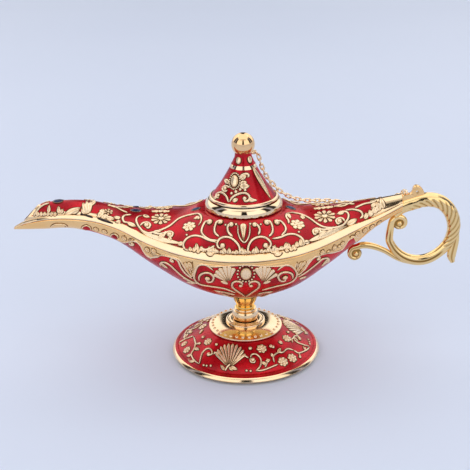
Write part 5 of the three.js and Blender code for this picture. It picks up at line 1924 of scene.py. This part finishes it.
def make_lower_ornament():
    x = np.linspace(-SPOUT_REACH, TAIL_REACH, 2 * STATIONS + 1)
    grid = bowl_grid(x, np.linspace(0, 1, 2 * BOWL_COLUMNS + 1))
    surface = (grid.reshape(-1, 3), grid_faces(*grid.shape[:2]))
    border = Relief(*surface)
    add_border(border)
    border.mirrored()
    border.finish("lower_border", TAN_GOLD_PAINTED_SHADE)
    flowers = Relief(*surface, BORDER_HEIGHT - ORNAMENT_SINK)
    for pixel in BORDER_FLOWERS:
        flowers.rose(pixel, BORDER_FLOWER)
    draw(flowers, SPOT_RINGS, [], BORDER_LEAVES, FINE_WIDTH)
    # Dark lines between the plume leaves, painted shade
    for pixels in PLUME_GAP_SHADE:
        flowers.stroke(pixels, GAP_WIDTH)
    flowers.mirrored()
    flowers.finish("border_flowers", BORDER_RELIEF)
    relief = Relief(*surface)
    relief.stroke(BORDER_EDGE, FINE_WIDTH)
    draw(relief, LOWER_STROKES, LOWER_BALLS, LOWER_LEAVES)
    for base, tips in LOWER_FANS:
        relief.fan(base, tips, LOWER_FAN_WIDTH)
    relief.dot(LOWER_OVAL, LOWER_OVAL_WIDTH, LOWER_OVAL_HEIGHT, LOWER_OVAL_STRETCH)
    relief.beads(LOWER_OVAL, *LOWER_OVAL_BEADS)
    relief.mirrored()
    relief.finish("lower_ornament", WARM_RELIEF_PAINTED_LIGHT)
    spots = Relief(*surface)
    for u, v, radius in RED_SPOTS:
        place, normal = spots.cast((u, v))
        spots.dome(place + normal * BORDER_HEIGHT, normal, radius, SPOT_HEIGHT, SPOT_STRETCH)
    spots.mirrored()
    spots.finish("spout_spots", RED, slot="red_enamel")


# Ornament of the foot: a shell-like fan with a scroll to each side stands three times round it, and a
# branch with flowers between each two of them
FOOT_STROKES = {
    "right_scroll": [
        (250.2, 358), (252, 354.6), (256, 354.4), (259.6, 357.4), (261, 361.6), (259.9, 366.8),
        (255.8, 370.9),
    ],
    "right_scroll_curl": [(250.2, 358), (250.6, 361.6), (254, 362.6), (255.4, 360)],
    "left_scroll": [
        (199.7, 363.8), (200.7, 358.7), (202.8, 352.6), (206.8, 349), (210.9, 349.5), (212.4, 353.6),
        (209.4, 356),
    ],
    "low_line": [(256, 371), (262, 370.4), (267, 368.9), (273.2, 366.3), (278.3, 364.3)],
    "sprig": [(267, 358.5), (266.8, 363), (265, 367.4)],
    "fan_left": [(226, 362), (221.6, 355.4), (216, 352.6), (213.6, 354.6)],
    "fan_right": [(235, 361.6), (239.6, 357.4), (244.6, 356), (248.6, 358.4)],
    "stalk": [(230.6, 364), (227.4, 367), (225, 371)],
}
FOOT_BALLS = [
    (252.8, 359.7, 1.0), (208.9, 354.6, 1.1), (250.2, 348.5, 0.9), (203.3, 337.4, 0.9), (216.6, 344.6, 0.8),
    (200.7, 332.7, 0.8), (246.6, 370.6, 0.6), (250.7, 371, 0.6), (203.8, 365.3, 0.6), (206.8, 365.8, 0.6),
    (210.9, 365.8, 0.6), (270.6, 346.4, 0.9),
]
FOOT_LEAVES = [
    ((265.6, 362), (270.4, 359.4), 1.8), ((266, 364.6), (261.6, 362), 1.8),
    ((224.6, 370.4), (220.6, 364.6), 1.6), ((231, 366.4), (237.6, 370.2), 1.8),
    ((229, 367), (233, 371), 1.5),
]
FOOT_FLOWERS = [(207.9, 341.8, 2.0), (261.6, 348.7, 2.3)]
FOOT_FAN_BASE = (229, 369)
FOOT_FAN_TIPS = [
    (215.8, 353.4), (217.6, 349.6), (220.8, 346.6), (224.6, 344.6), (228.8, 343.6), (233, 343.6),
    (237.2, 344.6), (241, 346.8), (243.8, 350), (245.4, 354),
]
FOOT_FAN_WIDTH = 1.7
FOOT_STROKE = 0.85
FAN_TURNS = (120, 240)
BRANCH_TURNS = (240,)
LEFT_BRANCH = {
    "stem": [
        (193.6, 336.2), (195.6, 343.4), (194.6, 348.5), (191.5, 354.6), (194.6, 360.7), (199.7, 364.3),
    ],
    "twig": [(195.6, 344.4), (199.6, 343.6)],
    "reach": [(193.6, 336.2), (189, 338), (185.4, 339.3), (179.3, 342.9)],
}
LEFT_BRANCH_BALLS = [(199.8, 343.6, 0.8)]
LEFT_BRANCH_LEAVES = [
    ((194.6, 348.6), (199.6, 350), 1.8), ((191.6, 355), (186.4, 356.6), 1.8),
    ((195, 361), (188.8, 362), 1.8),
]
LEFT_BRANCH_FLOWERS = [(186.9, 350, 2.0), (184.3, 343.9, 1.7), (186, 336, 1.6)]
RIGHT_BRANCH = {
    "stem": [(274.2, 362.8), (273.2, 356.6), (278.3, 352.6), (282.3, 352.6), (287.4, 349), (293.6, 350.5)],
    "reach": [(293.6, 350.5), (298.7, 353.1), (305.8, 350.5), (309.4, 347.4)],
    "twig": [(298.7, 353.1), (299.7, 356.6)],
    "loop": [(297.7, 341.3), (294.6, 338.4), (291.6, 339.4), (292.5, 342.8)],
}
RIGHT_BRANCH_BALLS = [(279.8, 342.3, 0.9), (287.6, 332.5, 0.8), (299.8, 357, 0.8)]
RIGHT_BRANCH_LEAVES = [
    ((273.4, 357), (270.6, 353.4), 1.6), ((277.4, 353), (281, 347.6), 1.6),
    ((305.6, 350.6), (302.8, 346), 1.8),
]
RIGHT_BRANCH_FLOWERS = [(287.4, 338.3, 2.0), (282.9, 361.7, 2.4), (292.2, 358, 2.3)]


def make_foot_ornament():
    surface = turned_surface([*foot_dome(60), (FOOT_TOP_RADIUS - FOOT_TOP_EDGE, FOOT_HEIGHT)], 240)

    def add(name, strokes, balls, leaves, flowers, fan_tips, turns):
        relief = Relief(*surface)
        draw(relief, strokes, balls, leaves, FOOT_STROKE)
        for u, v, radius in flowers:
            relief.rose((u, v), radius)
        relief.fan(FOOT_FAN_BASE, fan_tips, FOOT_FAN_WIDTH)
        relief.turned_copies(*turns)
        relief.finish(name, RELIEF)

    add("foot_fans", FOOT_STROKES, FOOT_BALLS, FOOT_LEAVES, FOOT_FLOWERS, FOOT_FAN_TIPS, FAN_TURNS)
    add("foot_branch", LEFT_BRANCH, LEFT_BRANCH_BALLS, LEFT_BRANCH_LEAVES, LEFT_BRANCH_FLOWERS, (),
        BRANCH_TURNS)
    add("foot_right_branch", RIGHT_BRANCH, RIGHT_BRANCH_BALLS, RIGHT_BRANCH_LEAVES, RIGHT_BRANCH_FLOWERS, (),
        ())


# Ornament of the lid
LID_STROKES = {
    "leaf_line": [(239.6, 178.6), (242, 175.2), (245.6, 173.8), (248.6, 175), (247.6, 177.6)],
    "big_scroll": [
        (229.4, 202.4), (232.6, 197.4), (238.6, 194), (245.1, 193.2), (249.2, 196), (248.6, 200.2),
        (245, 201.4), (243.4, 199),
    ],
    "big_scroll_tail": [(249.4, 197.4), (253, 200), (257, 200.4)],
    "left_scroll": [
        (228.6, 202.6), (226.4, 196.4), (221.6, 192.6), (217, 194), (216.4, 197.4), (219.4, 198),
    ],
    "left_curve": [(230, 187.6), (225.6, 186), (222.6, 188.6), (224.4, 191.4), (227.8, 190.4)],
}
LID_BALLS = [
    (240.2, 189.6, 0.7), (245.1, 190.1, 0.7), (231.6, 193.4, 0.7), (244.6, 198.6, 1.0), (218.6, 195.6, 0.9),
    (236, 191.8, 0.8), (225.4, 188.4, 0.9),
]
LID_LEAVES = [
    ((239.6, 186.4), (250, 186), 3.0), ((240, 184.4), (247, 181.6), 2.4),
    ((240.4, 179.6), (246.6, 175), 2.2), ((229.2, 183.4), (224.4, 179.4), 2.4),
    ((232.6, 201.6), (238.4, 198.6), 2.2), ((252.2, 166.4), (271, 199.4), 3.2),
    ((214, 199.6), (218.4, 194.4), 2.2), ((248, 200.6), (256.6, 200), 1.8),
]
LID_OVAL = (234.5, 181.2)
LID_OVAL_WIDTH = 1.9
LID_OVAL_STRETCH = 1.55
LID_OVAL_HEIGHT = 0.7
LID_OVAL_BEADS = (LID_OVAL_WIDTH + 0.7, 1.42, 22, 0.4)
LID_TOP_OVALS = [(238.6, 160.6), (249.6, 159.6)]
LID_TOP_OVAL_WIDTH = 1.3
LID_TOP_OVAL_HEIGHT = 0.5
LID_TOP_OVAL_STRETCH = 1.3


def make_lid_ornament():
    lift = BODY_BASE + LID_BASE
    relief = Relief(*turned_surface([(radius, height + lift) for radius, height in lid_cone(60)], 200))
    draw(relief, LID_STROKES, LID_BALLS, LID_LEAVES)
    relief.dot(LID_OVAL, LID_OVAL_WIDTH, LID_OVAL_HEIGHT, LID_OVAL_STRETCH)
    relief.beads(LID_OVAL, *LID_OVAL_BEADS)
    for pixel in LID_TOP_OVALS:
        relief.dot(pixel, LID_TOP_OVAL_WIDTH, LID_TOP_OVAL_HEIGHT, LID_TOP_OVAL_STRETCH)
    relief.turned_copies(180)
    relief.finish("lid_ornament", RELIEF, body="lid")


# Stage, light and camera

def make_stage():
    material, nodes, links = new_material("pale_floor")
    shader = nodes["Principled BSDF"]
    cloud = noise(nodes, links, scale=1.2, detail=2)
    stops = [(0.3, (0.66, 0.72, 0.88)), (0.7, (0.70, 0.76, 0.91))]
    links.new(ramp(nodes, links, cloud, stops), shader.inputs["Base Color"])
    shader.inputs["Roughness"].default_value = 0.6
    corners = [(-1, -1, 0), (1, -1, 0), (1, 1, 0), (-1, 1, 0)]
    floor = mesh_object("floor", np.array(corners) * FLOOR_REACH, [(0, 1, 2, 3)], [material])


# Wide soft lamp over the part
def make_lamp():
    light = bpy.data.lights.new("ceiling", "AREA")
    light.shape = "RECTANGLE"
    light.size, light.size_y = LAMP_SIZE
    light.energy = LAMP_POWER
    lamp = bpy.data.objects.new("ceiling", light)
    lamp.location = LAMP_PLACE
    lamp.visible_camera = False
    lamp.rotation_euler = (Vector(LAMP_AIM) - Vector(LAMP_PLACE)).to_track_quat("-Z", "Y").to_euler()
    bpy.context.scene.collection.objects.link(lamp)


def math_node(nodes, links, operation, *sources):
    node = nodes.new("ShaderNodeMath")
    node.operation = operation
    for socket, source in zip(node.inputs, sources):
        links.new(source, socket)
    return node.outputs["Value"]


def mix_node(nodes, links, factor, below, color):
    node = nodes.new("ShaderNodeMix")
    node.data_type = "RGBA"
    links.new(factor, node.inputs["Factor"])
    links.new(below, node.inputs["A"])
    node.inputs["B"].default_value = (*color, 1)
    return node.outputs["Result"]


# Bright panels all round with darker gaps between them at the front, back and sides, a bright ceiling and
# pale haze low down
def make_world():
    world = bpy.data.worlds.new("studio")
    bpy.context.scene.world = world
    world.use_nodes = True
    nodes = world.node_tree.nodes
    links = world.node_tree.links
    place = nodes.new("ShaderNodeTexCoord")
    split = nodes.new("ShaderNodeSeparateXYZ")
    links.new(place.outputs["Generated"], split.inputs["Vector"])
    side = math_node(nodes, links, "ABSOLUTE", split.outputs["X"])
    front = math_node(nodes, links, "ABSOLUTE", split.outputs["Y"])
    share = math_node(nodes, links, "DIVIDE", side, math_node(nodes, links, "ADD", side, front))
    panels = ramp(nodes, links, share, PANEL_STOPS)
    upward = split.outputs["Z"]
    high = ramp(nodes, links, upward, [(CEILING_EDGE[0], (0, 0, 0)), (CEILING_EDGE[1], (1, 1, 1))])
    low = ramp(nodes, links, upward, [(HAZE_EDGE[0], (1, 1, 1)), (HAZE_EDGE[1], (0, 0, 0))])
    light = mix_node(nodes, links, high, panels, CEILING_LIGHT)
    light = mix_node(nodes, links, low, light, HAZE_LIGHT)
    links.new(light, nodes["Background"].inputs["Color"])
    nodes["Background"].inputs["Strength"].default_value = WORLD_STRENGTH


def make_camera():
    data = bpy.data.cameras.new("camera")
    data.sensor_width = SENSOR_WIDTH
    data.lens = SENSOR_WIDTH * PHOTO_FOCUS / PHOTO_SIZE
    data.clip_start = 0.01
    camera = bpy.data.objects.new("camera", data)
    camera.matrix_world = camera_matrix()
    bpy.context.scene.collection.objects.link(camera)
    bpy.context.scene.camera = camera


make_camera()
make_chain()
make_pad()
make_foot()
make_collar()
make_stem()
make_lower_shell()
make_upper_shell()
make_neck()
make_lid()
make_knob()
make_tab()
make_handle()
make_thumb_rest()
make_upper_ornament()
make_lower_ornament()
make_foot_ornament()
make_lid_ornament()
make_stage()
make_lamp()
make_world()
for name in ("bolt_washer", "stem_bolt", "stem_nut", "knob_screw"):
    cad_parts[name].data.materials.clear()
    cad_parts[name].data.materials.append(STEEL)

bpy.context.scene.view_settings.view_transform = "Standard"
